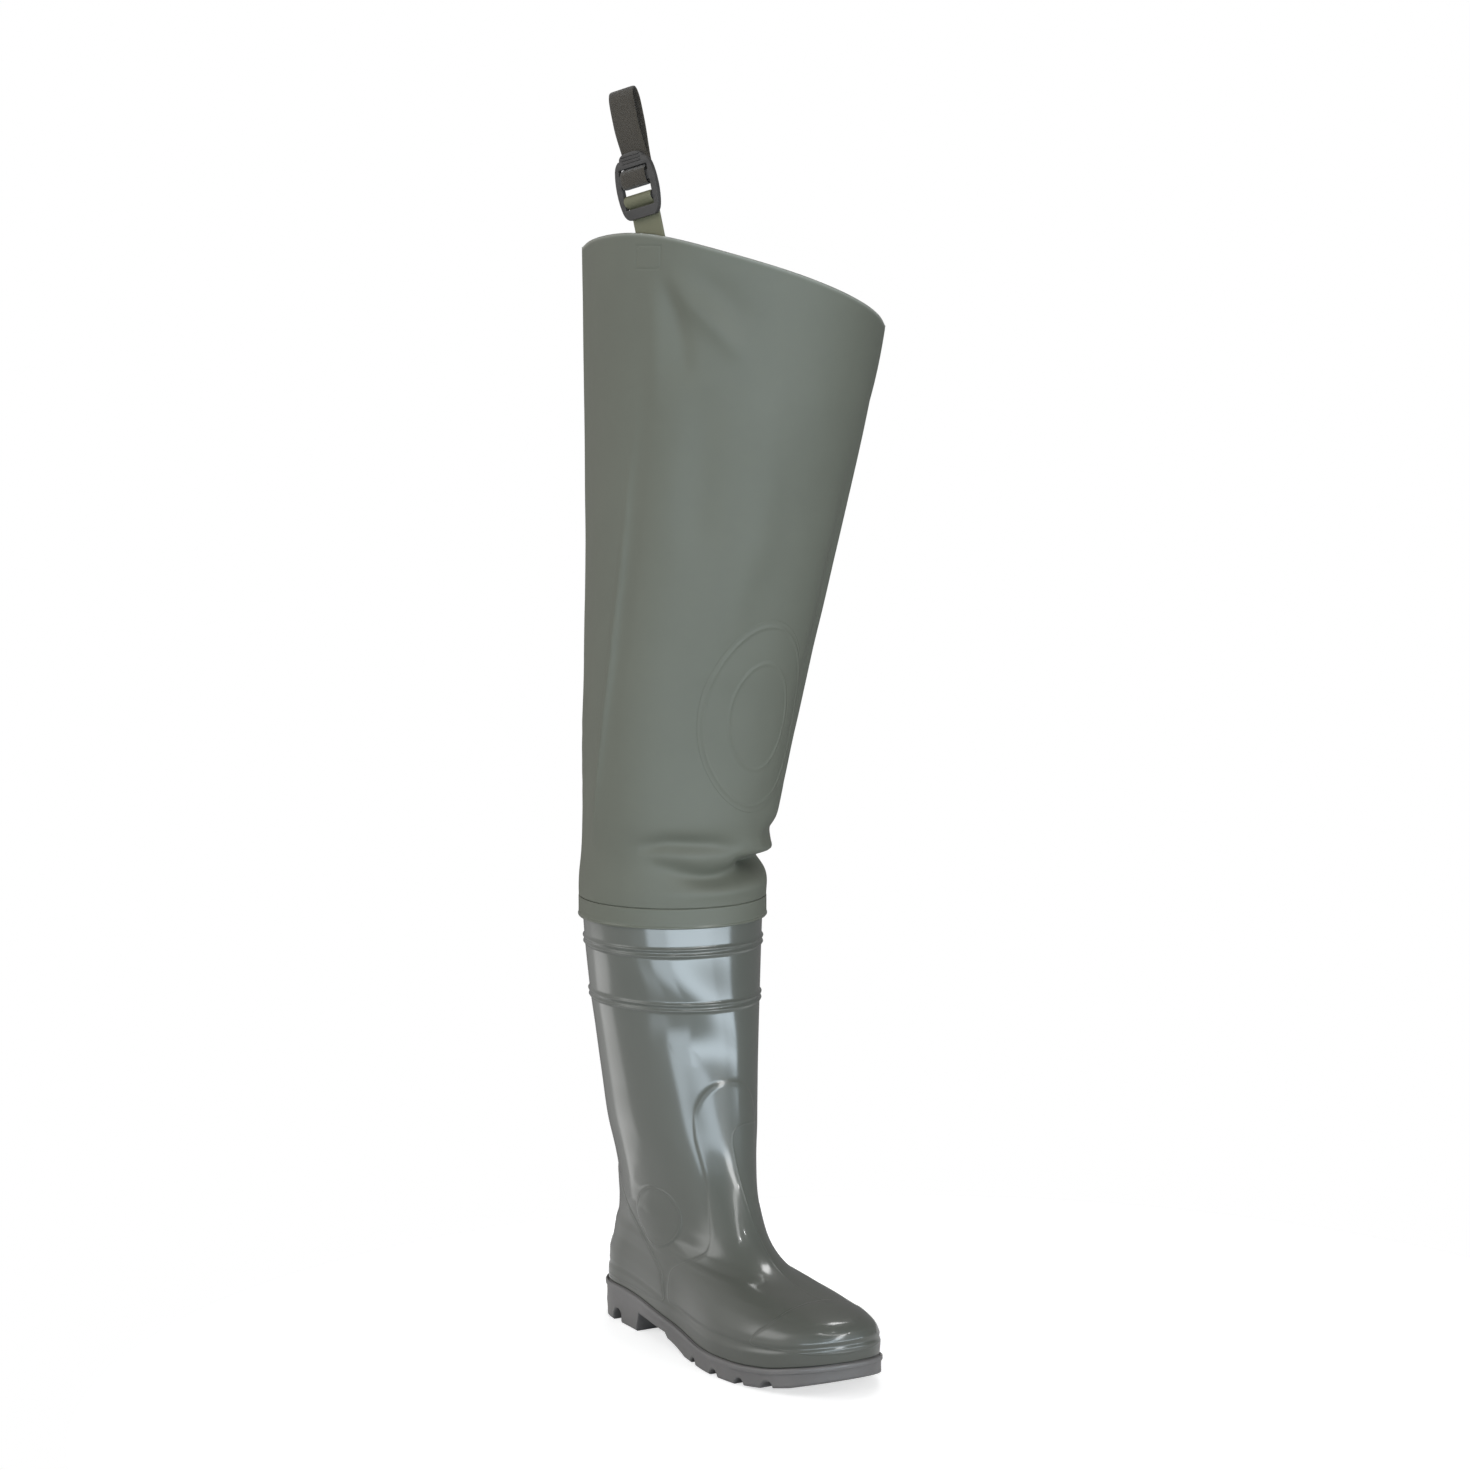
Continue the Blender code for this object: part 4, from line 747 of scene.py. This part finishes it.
LEG_GREEN, PAINTED_RIM_HIGHLIGHT = (0.119, 0.123, 0.097, 1), (0.28, 0.28, 0.24, 1)
leg_cloth, tree, shader, place = new_material("leg_coated_cloth", Specular_IOR_Level=0.35)
cloth = use_group(tree, uneven_colour, Vector=place, Color=LEG_GREEN, Scale=9.0, Amount=0.10)
fine = use_group(tree, uneven_colour, Vector=place, Color=cloth.outputs["Color"], Scale=70.0, Amount=0.05)
# Painted highlight: along the collar's rim the cloth's green is mixed towards a much paler green
rim_highlighted = add_node(
    tree, "ShaderNodeMixRGB",
    {"Fac": attribute_of(tree, "collar_rim_highlight"), "Color1": fine.outputs["Color"], "Color2": PAINTED_RIM_HIGHLIGHT},
)
tree.links.new(rim_highlighted.outputs["Color"], shader.inputs["Base Color"])
dull = arithmetic(tree, "MULTIPLY_ADD", fine.outputs["Cloud"], 0.16, 0.46)
dull = arithmetic(tree, "MULTIPLY_ADD", attribute_of(tree, "weld_bead"), -0.32, dull)
tree.links.new(dull, shader.inputs["Roughness"])
imprint = use_group(
    tree, moulded_line,
    Distance=attribute_of(tree, "imprint_edge"), Width=0.9 * MM, Depth=-0.3 * MM,
)
leg_heights = [
    use_group(tree, surface_grain, Vector=place, Scale=24.0, Depth=0.5 * MM).outputs["Height"],
    use_group(tree, surface_grain, Vector=place, Scale=1100.0, Depth=0.03 * MM).outputs["Height"],
    imprint.outputs["Height"],
]
raise_surface(tree, shader, leg_heights)
leg.data.materials.append(leg_cloth)
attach(leg, "root")
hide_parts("leg")

# Joint band: a strip of the leg's cloth, welded round the joint of leg and boot.
# A smooth weld bead, shinier than the cloth, runs round its lower edge.
SHAFT_X, SHAFT_Y, RIM_RADIUS = 7.5 * MM, -18 * MM, 70 * MM
BAND_LOW, LEG_CLEARANCE = 321.3 * MM, 0.4 * MM
band_inside = RIM_RADIUS + LEG_CLEARANCE + CLOTH + GAP
BAND_PROFILE = (
    (0, 0), (0.7, 0), (1.15, 0.1), (1.5, 0.5), (1.65, 1.0), (1.6, 1.6), (1.35, 2.2), (1.2, 2.8),
    (1.15, 5), (1.15, 8), (1.15, 11), (1.15, 13), (1.15, 14.8), (1.0, 15.4), (0.6, 15.65), (0, 15.7), (0, 0),
)
band_rows = []
for depth, up in BAND_PROFILE:
    reach = band_inside + depth * MM
    across, along = SHAFT_X + reach * np.cos(leg_angles[0]), SHAFT_Y + reach * np.sin(leg_angles[0])
    band_rows.append(np.stack([across, along, np.full(LEG_COLUMNS + 1, BAND_LOW + up * MM)], axis=-1))
BEAD_LOW, BEAD_HIGH = 0.3, 2.6
on_bead = np.array([BEAD_LOW < up < BEAD_HIGH for depth, up in BAND_PROFILE])
weld_bead = on_bead[:, None] * np.ones(LEG_COLUMNS + 1)
joint_band = rolled_sheet("joint_band_strip", np.array(band_rows), {"weld_bead": weld_bead})
joint_band.data.materials.append(leg_cloth)
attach(joint_band, "root")
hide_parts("joint_band")

# Knee patch: an oval of the same cloth, welded flat on the front of the knee.
# A plain raised line runs along its border, and another round its middle.
KNEE_ANGLE, KNEE_HEIGHT = math.radians(281), 482 * MM
KNEE_HALF_WIDTH, KNEE_HALF_HEIGHT, KNEE_THICK = 50 * MM, 74 * MM, 0.9 * MM
KNEE_RIM, KNEE_UNDER, KNEE_COLUMNS = 0.12 * MM, 0.04 * MM, 160
KNEE_LINE_SHARES, KNEE_LINE_WIDTH, KNEE_LINE_HEIGHT = (0.93, 0.55), 0.02, 0.5 * MM
KNEE_CROWN, KNEE_BORDER, KNEE_REACH, KNEE_HALVINGS = 0.35, 0.03, 1.2, 30
knee_side = np.array([-math.sin(KNEE_ANGLE), math.cos(KNEE_ANGLE)])


def leg_level(height, angle):
    return (height - LEG_FOOT) / (collar_height(angle) - LEG_FOOT)


def knee_angles(offset, height):
    """Angles round the leg at the given distances beside the knee's centre line."""
    centre = leg_form(leg_level(KNEE_HEIGHT, KNEE_ANGLE), KNEE_ANGLE)[:2]
    low = np.full(offset.shape, KNEE_ANGLE - KNEE_REACH)
    high = np.full(offset.shape, KNEE_ANGLE + KNEE_REACH)
    for _ in range(KNEE_HALVINGS):
        middle = (low + high) / 2
        beside = (leg_form(leg_level(height, middle), middle)[..., :2] - centre) @ knee_side
        low, high = np.where(beside < offset, middle, low), np.where(beside < offset, high, middle)
    return (low + high) / 2


def knee_lift(share):
    """Height of the patch's face: a low crown with its two raised lines."""
    lines = sum(np.exp(-(((share - middle) / KNEE_LINE_WIDTH) ** 2)) for middle in KNEE_LINE_SHARES)
    crown = KNEE_THICK * ease(1 - share, 0, KNEE_CROWN)
    return KNEE_RIM + crown + KNEE_LINE_HEIGHT * lines * ease(1 - share, 0, KNEE_BORDER)


knee_turns = np.linspace(0, FULL_TURN, KNEE_COLUMNS + 1)[None, :]
knee_stretches = ((0, 0.45, 8), (0.47, 0.63, 17), (0.67, 0.85, 6), (0.87, 1, 20))
knee_shares = np.concatenate([np.linspace(*stretch) for stretch in knee_stretches])[:, None]
knee_beside = KNEE_HALF_WIDTH * knee_shares * np.cos(knee_turns)
knee_up = KNEE_HEIGHT + KNEE_HALF_HEIGHT * knee_shares * np.sin(knee_turns)
knee_round = knee_angles(knee_beside, knee_up)
knee_face = leg_skin(leg_level(knee_up, knee_round), knee_round, knee_lift(knee_shares) + 0 * knee_turns)
knee_under = leg_skin(leg_level(knee_up, knee_round), knee_round, np.full(knee_up.shape, KNEE_UNDER))
knee_patch = rolled_sheet("knee_patch_oval", np.concatenate([knee_face, knee_under[::-3]]))
knee_patch.data.materials.append(leg_cloth)
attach(knee_patch, "root")
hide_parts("knee_patch")

# Inseam tape: a narrow strip of the same cloth, welded over the seam down the inner side of the leg.
# The weld presses a raised line along each of its edges.
TAPE_HALF_WIDTH, TAPE_THICK, TAPE_GAP, TAPE_LOW = 6 * MM, 0.8 * MM, 0.6 * MM, 351 * MM
TAPE_FACE = (
    (-1, 0), (-0.97, 0.6), (-0.86, 0.95), (-0.7, 1.0), (-0.6, 0.75), (-0.3, 0.7), (0, 0.72), (0.3, 0.7),
    (0.6, 0.75), (0.7, 1.0), (0.86, 0.95), (0.97, 0.6), (1, 0),
)
TAPE_BACK = ((0.5, 0), (0, 0), (-0.5, 0), (-1, 0))
tape_across, tape_raise = np.array(TAPE_FACE + TAPE_BACK).T
tape_levels = np.linspace(leg_level(TAPE_LOW, 0.0), 1, 190)
tape_rows = []
for level in tape_levels:
    radius = np.hypot(*(leg_form(level, 0.0)[:2] - leg_form(level, math.pi)[:2])) / 2
    angles = tape_across * TAPE_HALF_WIDTH / radius
    tape_rows.append(leg_skin(level, angles, TAPE_GAP + tape_raise * TAPE_THICK))
tape_middle = np.zeros(len(tape_across))
tape_low, tape_high = [leg_skin(level, tape_middle, tape_middle + TAPE_GAP) for level in tape_levels[[0, -1]]]
inseam_tape = rolled_sheet("inseam_tape_strip", np.array([tape_low, *tape_rows, tape_high]))
bpy.ops.object.shade_smooth_by_angle(angle=math.radians(50))
inseam_tape.data.materials.append(leg_cloth)
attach(inseam_tape, "root")
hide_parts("inseam_tape")

# Strap tab: a strip of coated cloth, a little yellower than the leg's.
# It is welded inside the collar and folded round the buckle's lower bar.
STRAP_INSET = -1.3 * MM
STRAP_LEAN_BACK, STRAP_LEAN_OUT = math.radians(13.5), math.radians(1)
TAB_WIDTH, TAB_THICK = 25.5 * MM, 0.9 * MM
RIBBON_STEP, RIBBON_COLUMNS, RIBBON_EDGE_POWER = 1.2 * MM, 19, 14
TAB_PATH = (
    (-4.2, -42), (-4.2, 0), (-4.2, 16.5), (-4.1, 22.5), (-3.65, 27.5), (-2.4, 29.3), (0, 30.2), (2.4, 29.3),
    (3.65, 27), (3.4, 24.9), (1.6, 22.7), (-1.2, 21.1), (-3.0, 19), (-3.2, 15.5), (-3.2, 0), (-3.2, -42),
)


def strap_place():
    """Frame of the strap on the collar's edge: depth outwards, height up and width towards the back."""
    edge = Vector(leg_form(1.0, STRAP_ANGLE))
    outward = Vector((math.cos(STRAP_ANGLE), math.sin(STRAP_ANGLE), 0))
    back = Vector((math.sin(STRAP_ANGLE), -math.cos(STRAP_ANGLE), 0))
    up = Vector((0, 0, math.cos(STRAP_LEAN_OUT))) + outward * math.sin(STRAP_LEAN_OUT)
    up = up * math.cos(STRAP_LEAN_BACK) + back * math.sin(STRAP_LEAN_BACK)
    across = outward.cross(up).normalized()
    out = up.cross(across).normalized()
    axes = Matrix((out, up.normalized(), across)).transposed().to_4x4()
    return Matrix.Translation(edge + outward * STRAP_INSET) @ axes


def smooth_path(points, step):
    """Points in metres, a step apart, on a smooth curve through points in millimetres."""
    points = np.array(points, float) * MM
    ends = np.concatenate([2 * points[:1] - points[1:2], points, 2 * points[-1:] - points[-2:-1]])
    found = []
    for a, b, c, d in zip(ends, ends[1:], ends[2:], ends[3:]):
        count = max(2, math.ceil(np.linalg.norm(c - b) / step))
        for u in np.arange(count) / count:
            found.append(b + 0.5 * u * (c - a + u * (2 * a - 5 * b + 4 * c - d + u * (3 * (b - c) + d - a))))
    return np.array([*found, points[-1]])


def ribbon(name, points, width, thick):
    """A strip of cloth along a path in the strap's frame, with rounded edges and closed ends."""
    path = smooth_path(points, RIBBON_STEP)
    ahead = np.gradient(path, axis=0)
    ahead = ahead / np.linalg.norm(ahead, axis=-1, keepdims=True)
    side = np.stack([ahead[:, 1], -ahead[:, 0]], axis=-1)
    spread = np.sin(np.linspace(-1, 1, RIBBON_COLUMNS) * math.pi / 2)
    across = np.concatenate([spread, spread[-2::-1]]) * width / 2
    round_edge = np.sqrt(1 - np.abs(spread) ** RIBBON_EDGE_POWER) * thick / 2
    offset = np.concatenate([round_edge, -round_edge[-2::-1]])
    full = np.ones(len(path) + 2)
    full[[0, -1]] = 0
    rows = np.concatenate([[0], np.arange(len(path)), [len(path) - 1]])
    flat = path[rows][:, None, :] + side[rows][:, None, :] * (offset[None, :, None] * full[:, None, None])
    local = np.concatenate([flat, np.broadcast_to(across[None, :, None], flat.shape[:2] + (1,))], axis=-1)
    frame_of_strap = np.array(strap_place())
    length = np.concatenate([[0], np.cumsum(np.linalg.norm(np.diff(path, axis=0), axis=-1))])[rows]
    marks = {
        "along": np.broadcast_to(length[:, None], flat.shape[:2]),
        "across": np.broadcast_to(across[None, :], flat.shape[:2]),
    }
    return rolled_sheet(name, local @ frame_of_strap[:3, :3].T + frame_of_strap[:3, 3], marks)


strap_tab = ribbon("strap_tab_cloth", TAB_PATH, TAB_WIDTH, TAB_THICK)
TAB_GREEN = (0.134, 0.129, 0.080, 1)
tab_cloth, tree, shader, place = new_material("tab_coated_cloth", Specular_IOR_Level=0.35)
cloth = use_group(tree, uneven_colour, Vector=place, Color=TAB_GREEN, Scale=60.0, Amount=0.12)
tree.links.new(cloth.outputs["Color"], shader.inputs["Base Color"])
dull = arithmetic(tree, "MULTIPLY_ADD", cloth.outputs["Cloud"], 0.15, 0.45)
tree.links.new(dull, shader.inputs["Roughness"])
tab_heights = [
    use_group(tree, surface_grain, Vector=place, Scale=90.0, Depth=0.25 * MM).outputs["Height"],
    use_group(tree, surface_grain, Vector=place, Scale=1300.0, Depth=0.04 * MM).outputs["Height"],
]
raise_surface(tree, shader, tab_heights)
strap_tab.data.materials.append(tab_cloth)
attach(strap_tab, "root")
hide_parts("strap_tab")

# Buckle: a ladder buckle, moulded in dark nylon.
# It has two bowed side rails, four cross bars and a ridged thumb tab.
BUCKLE_WIDTH, BUCKLE_THICK, BUCKLE_BOW, BUCKLE_CORNER = 37 * MM, 4 * MM, 3.5 * MM, 3 * MM
BUCKLE_LOW, BUCKLE_HIGH, BUCKLE_ROUNDING = 12.5 * MM, 56.5 * MM, 0.8 * MM
SLOT_HALF_WIDTH, SLOTS = 13.4, ((20, 24.5), (28.5, 38.5), (45.5, 50.5))
THUMB_HALF_WIDTH, THUMB_HIGH = 11 * MM, 61.5 * MM
RIDGE_HEIGHTS, RIDGE_HALF_WIDTH, RIDGE_RADIUS = (54.2, 56.7, 59.2), 8.5 * MM, 0.7 * MM


def buckle_outline():
    """Right half from the bottom up, and its mirror image."""
    middle = (BUCKLE_LOW + BUCKLE_HIGH) / 2
    right = []
    for height in BUCKLE_LOW + (BUCKLE_HIGH - BUCKLE_LOW) * np.sin(np.linspace(0, math.pi / 2, 17)) ** 2:
        off = (height - middle) / (BUCKLE_HIGH - middle)
        right.append((BUCKLE_WIDTH / 2 - BUCKLE_BOW * off**2 - BUCKLE_CORNER * off**10, height))
    for turn in np.linspace(0, math.pi / 2, 13):
        rise = (THUMB_HIGH - BUCKLE_HIGH) * math.sin(turn)
        right.append((THUMB_HALF_WIDTH * math.cos(turn) ** 0.6, BUCKLE_HIGH + rise))
    return right + [(-x, y) for x, y in reversed(right[:-1])]


def slot_outline(low, high, corner=0.9):
    """A slot with rounded corners."""
    found = []
    for cx, cy, start in ((1, 1, 0), (-1, 1, 90), (-1, -1, 180), (1, -1, 270)):
        for turn in np.radians(start + np.linspace(0, 90, 5)):
            x = cx * (SLOT_HALF_WIDTH - corner) + corner * math.cos(turn)
            y = (high - corner if cy > 0 else low + corner) + corner * math.sin(turn)
            found.append((x * MM, y * MM))
    return found


flat_buckle = bpy.data.curves.new("buckle_frame", "CURVE")
flat_buckle.dimensions, flat_buckle.fill_mode, flat_buckle.extrude = "2D", "BOTH", BUCKLE_THICK / 2
for outline in [buckle_outline()] + [slot_outline(low, high) for low, high in SLOTS]:
    spline = flat_buckle.splines.new("POLY")
    spline.points.add(len(outline) - 1)
    spline.points.foreach_set("co", np.array([(x, y, 0, 1) for x, y in outline], np.float32).ravel())
    spline.use_cyclic_u = True
buckle = bpy.data.objects.new("buckle_frame", flat_buckle)
bpy.context.scene.collection.objects.link(buckle)
bpy.ops.object.select_all(action="DESELECT")
buckle.select_set(True)
bpy.context.view_layer.objects.active = buckle
bpy.ops.object.convert(target="MESH")
buckle = bpy.context.object
weld_and_face_out()
rounding = buckle.modifiers.new("moulded edges", "BEVEL")
rounding.width, rounding.segments, rounding.limit_method = BUCKLE_ROUNDING, 3, "ANGLE"
rounding.angle_limit = math.radians(50)
bpy.ops.object.modifier_apply(modifier=rounding.name)
for height in RIDGE_HEIGHTS:
    bpy.ops.mesh.primitive_cylinder_add(
        radius=RIDGE_RADIUS, depth=2 * RIDGE_HALF_WIDTH, vertices=20,
        location=(0, height * MM, BUCKLE_THICK / 2), rotation=(0, math.pi / 2, 0),
    )
    bpy.ops.object.transform_apply(location=True, rotation=True, scale=True)
    buckle.select_set(True)
    bpy.context.view_layer.objects.active = buckle
    bpy.ops.object.join()
facing_out = Matrix(((0, 0, 1, 0), (0, 1, 0, 0), (-1, 0, 0, 0), (0, 0, 0, 1)))
buckle.data.transform(strap_place() @ facing_out)
bpy.ops.object.shade_smooth_by_angle(angle=math.radians(35))

BUCKLE_BLACK = (0.046, 0.042, 0.039, 1)
buckle_nylon, tree, shader, place = new_material("buckle_nylon", Specular_IOR_Level=0.5)
black = use_group(tree, uneven_colour, Vector=place, Color=BUCKLE_BLACK, Scale=120.0, Amount=0.2)
tree.links.new(black.outputs["Color"], shader.inputs["Base Color"])
satin = arithmetic(tree, "MULTIPLY_ADD", black.outputs["Cloud"], 0.2, 0.34)
tree.links.new(satin, shader.inputs["Roughness"])
spark = use_group(tree, surface_grain, Vector=place, Scale=2600.0, Depth=0.03 * MM)
raise_surface(tree, shader, [spark.outputs["Height"]])
buckle.data.materials.append(buckle_nylon)
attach(buckle, "root")
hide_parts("buckle")

# Webbing strap: a woven belt loop. It runs up behind the buckle, over at the belt, down through the
# buckle's upper slot, round its middle bar and up to a sewn lap.
WEBBING_WIDTH, WEBBING_THICK = 23 * MM, 1.45 * MM
WEBBING_PATH = (
    (-7.9, 39.75), (-7.9, 57), (-8.8, 70), (-9.5, 81), (-9.5, 97), (-8.6, 104), (-6.6, 108), (-3.9, 108),
    (-1.9, 104), (-1.0, 97), (-1.0, 81), (-2.2, 71), (-3.7, 62), (-3.7, 51.6), (0.0, 49.1), (3.4, 46.2),
    (3.4, 38.05), (1.6, 35.9), (-1.6, 35.9), (-4.4, 37.5), (-5.9, 40.75), (-5.9, 59),
)
webbing = ribbon("webbing_belt_loop", WEBBING_PATH, WEBBING_WIDTH, WEBBING_THICK)
WEBBING_BROWN = (0.049, 0.040, 0.029, 1)
RIB_PITCH, YARN_PITCH, WEAVE_DEPTH = 1.9 * MM, 1.3 * MM, 0.22 * MM
webbing_weave, tree, shader, place = new_material(
    "webbing_weave", Specular_IOR_Level=0.25, Sheen_Weight=0.25, Sheen_Roughness=0.5
)
dyed = use_group(tree, uneven_colour, Vector=place, Color=WEBBING_BROWN, Scale=500.0, Amount=0.3)
worn = use_group(tree, uneven_colour, Vector=place, Color=dyed.outputs["Color"], Scale=30.0, Amount=0.15)
tree.links.new(worn.outputs["Color"], shader.inputs["Base Color"])
rough = arithmetic(tree, "MULTIPLY_ADD", dyed.outputs["Cloud"], 0.15, 0.75)
tree.links.new(rough, shader.inputs["Roughness"])
weave = WEAVE_DEPTH
for way, pitch in (("across", RIB_PITCH), ("along", YARN_PITCH)):
    phase = arithmetic(tree, "MULTIPLY", attribute_of(tree, way), FULL_TURN / pitch)
    weave = arithmetic(tree, "MULTIPLY", arithmetic(tree, "SINE", phase), weave)
fuzz = use_group(tree, surface_grain, Vector=place, Scale=3000.0, Depth=0.08 * MM)
raise_surface(tree, shader, [weave, fuzz.outputs["Height"]])
webbing.data.materials.append(webbing_weave)
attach(webbing, "root")
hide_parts("webbing_strap")

# Floor: a plain pale paper disc that the wader stands on, short behind the heel, where a low soft box
# shines past its edge. It glows for the camera alone, so that it runs out into the white behind.
FLOOR_RADIUS, FLOOR_PLACE, FLOOR_GLOW = 0.62, (0.05, -0.32, 0), 0.65
FLOOR_GREY, WHITE = (0.65, 0.65, 0.65, 1), (1, 1, 1, 1)
bpy.ops.object.select_all(action="DESELECT")
bpy.ops.mesh.primitive_circle_add(vertices=96, radius=FLOOR_RADIUS, fill_type="NGON", location=FLOOR_PLACE)
floor = bpy.context.object
floor.name = "studio_floor"
floor_paper, tree, shader, place = new_material(
    "floor_paper", Roughness=0.9, Specular_IOR_Level=0.0, Base_Color=FLOOR_GREY, Emission_Color=WHITE,
)
to_camera = tree.nodes.new("ShaderNodeLightPath").outputs["Is Camera Ray"]
tree.links.new(arithmetic(tree, "MULTIPLY", to_camera, FLOOR_GLOW), shader.inputs["Emission Strength"])
floor.data.materials.append(floor_paper)

# Light: white behind the wader for the camera, and for all else a dim room with soft boxes, whose mirror
# images make the shines. They are a low row in front, strips above it for the instep, one high up behind,
# and dim ones at the outer side and behind the heel. Three small lamps make the glints on the toe.
ROOM, COOL = 0.17, (0.76, 0.89, 1.0, 1)
SoftBox = namedtuple("SoftBox", "azimuth elevation half_width half_height lean soft strength")
COOL_BOXES = (
    SoftBox(-52, -6, 14, 9, 0, 4, 4.8),
    SoftBox(-75, -20, 11, 5, 0, 5, 1.6),
    SoftBox(-8, -3, 30, 5, 0, 4, 8.2),
    SoftBox(36, -3, 14, 4, 0, 4, 7.8),
    SoftBox(-10, 9.5, 9, 6, 3.9, 3, 6.0),
)
PLAIN_BOXES = (
    SoftBox(13, 23, 8, 9, 0.8, 3, 8.0),
    SoftBox(-12, 46, 9, 14, -2.2, 3, 4.0),
    SoftBox(126, 64, 12, 7, 0, 4, 8.0),
    SoftBox(-108, 22, 16, 14, 0, 8, 1.5),
    SoftBox(-120, 5, 60, 40, 0, 25, 0.36),
    SoftBox(-152, -20, 14, 4, 0, 4, 1.1),
)
BOX_SOCKETS = (
    "Middle Azimuth", "Middle Elevation", "Half Width", "Half Height", "Lean", "Soft", "Full",
)


def make_soft_box():
    """Strength of a patch of sky that fades at its edges, in degrees."""
    sockets = ("Azimuth", "Elevation", *BOX_SOCKETS)
    group, given, result = new_group(
        "soft_box", dict.fromkeys(sockets, "NodeSocketFloat"), {"Strength": "NodeSocketFloat"},
    )
    seen_at = given.outputs
    rise = arithmetic(group, "SUBTRACT", seen_at["Elevation"], seen_at["Middle Elevation"])
    turn = arithmetic(group, "SUBTRACT", seen_at["Azimuth"], seen_at["Middle Azimuth"])
    turn = arithmetic(group, "SUBTRACT", turn, arithmetic(group, "MULTIPLY", rise, seen_at["Lean"]))
    aside = arithmetic(group, "ABSOLUTE", arithmetic(group, "WRAP", turn, 180.0, -180.0))
    above = arithmetic(group, "ABSOLUTE", rise)
    strength = seen_at["Full"]
    for off, half in ((aside, seen_at["Half Width"]), (above, seen_at["Half Height"])):
        inner = arithmetic(group, "SUBTRACT", half, seen_at["Soft"])
        outer = arithmetic(group, "ADD", half, seen_at["Soft"])
        fall = add_node(
            group, "ShaderNodeMapRange",
            {"Value": off, "From Min": inner, "From Max": outer, "To Min": 1.0, "To Max": 0.0},
            interpolation_type="SMOOTHSTEP",
        )
        strength = arithmetic(group, "MULTIPLY", strength, fall.outputs["Result"])
    group.links.new(strength, result.inputs["Strength"])
    return group


world = bpy.data.worlds.new("white_studio")
bpy.context.scene.world = world
world.use_nodes = True
tree = world.node_tree
seen = tree.nodes["Background"]
seen.inputs["Color"].default_value = WHITE
seen.inputs["Strength"].default_value = 1.0
look = tree.nodes.new("ShaderNodeTexCoord").outputs["Generated"]
part_x, part_y, part_z = add_node(tree, "ShaderNodeSeparateXYZ", {0: look}).outputs
azimuth = arithmetic(tree, "ARCTAN2", part_x, arithmetic(tree, "MULTIPLY", part_y, -1.0))
azimuth = arithmetic(tree, "DEGREES", azimuth)
elevation = arithmetic(tree, "DEGREES", arithmetic(tree, "ARCSINE", part_z))
soft_box = make_soft_box()
shaders = []
for colour, boxes, strengths in ((COOL, COOL_BOXES, []), (WHITE, PLAIN_BOXES, [ROOM])):
    for box in boxes:
        values = {"Azimuth": azimuth, "Elevation": elevation, **dict(zip(BOX_SOCKETS, box))}
        strengths.append(add_node(tree, "ShaderNodeGroup", values, node_tree=soft_box).outputs["Strength"])
    sky = add_node(tree, "ShaderNodeBackground", {"Color": colour, "Strength": sum_of(tree, strengths)})
    shaders.append(sky.outputs[0])
lit = add_node(tree, "ShaderNodeAddShader", {0: shaders[0], 1: shaders[1]}).outputs[0]
choose = add_node(
    tree, "ShaderNodeMixShader",
    {0: tree.nodes.new("ShaderNodeLightPath").outputs["Is Camera Ray"], 1: lit, 2: seen.outputs[0]},
)
tree.links.new(choose.outputs[0], tree.nodes["World Output"].inputs["Surface"])

TOE_TOP, LAMP_DISTANCE, LAMP_SIZE, LAMP_RADIANCE = Vector((0.012, -0.252, 0.055)), 1.3, 0.035, 80
TOE_LAMPS = (("toe_lamp_outer", -41, 63), ("toe_lamp_middle", 6, 63), ("toe_lamp_inner", 32, 34))


def add_lamp(name, spot, aim, size, energy):
    """A square lamp that faces its aim and is hidden from the camera."""
    bulb = bpy.data.lights.new(name, "AREA")
    bulb.size, bulb.energy = size, energy
    lamp = bpy.data.objects.new(name, bulb)
    bpy.context.scene.collection.objects.link(lamp)
    lamp.location = spot
    lamp.rotation_euler = (aim - spot).to_track_quat("-Z", "Y").to_euler()
    lamp.visible_camera = False
    return lamp


for name, side, rise in TOE_LAMPS:
    turn, tilt = math.radians(side), math.radians(rise)
    away = Vector((math.sin(turn) * math.cos(tilt), -math.cos(turn) * math.cos(tilt), math.sin(tilt)))
    add_lamp(name, TOE_TOP + away * LAMP_DISTANCE, TOE_TOP, LAMP_SIZE, LAMP_RADIANCE * math.pi * LAMP_SIZE**2)

# Fill lamps: two large soft lamps behind the wader. They light its cloth and show in no shine.
FILL_AIM, FILL_SIZE = Vector((0, 0, 0.5)), 1.4
FILL_LAMPS = (("fill_lamp_outer", (-2.2, 1.1, 1.2), 20), ("fill_lamp_inner", (1.5, 2.1, 1.2), 24))
for name, spot, energy in FILL_LAMPS:
    add_lamp(name, Vector(spot), FILL_AIM, FILL_SIZE, energy).visible_glossy = False

# Camera: a long lens at the photograph's angle to the shoe.
CAMERA_PLACE, CAMERA_AIM = Vector((-1.4925, -2.616, 0.85)), Vector((0.0618, -0.0216, 0.4575))
SENSOR_WIDTH, LENS = 36, 96.05
camera = bpy.data.objects.new("studio_camera", bpy.data.cameras.new("studio_camera"))
bpy.context.scene.collection.objects.link(camera)
camera.data.sensor_width, camera.data.lens = SENSOR_WIDTH, LENS
camera.location = CAMERA_PLACE
camera.rotation_euler = (CAMERA_AIM - CAMERA_PLACE).to_track_quat("-Z", "Y").to_euler()
bpy.context.scene.camera = camera
bpy.context.scene.view_settings.view_transform = "Standard"
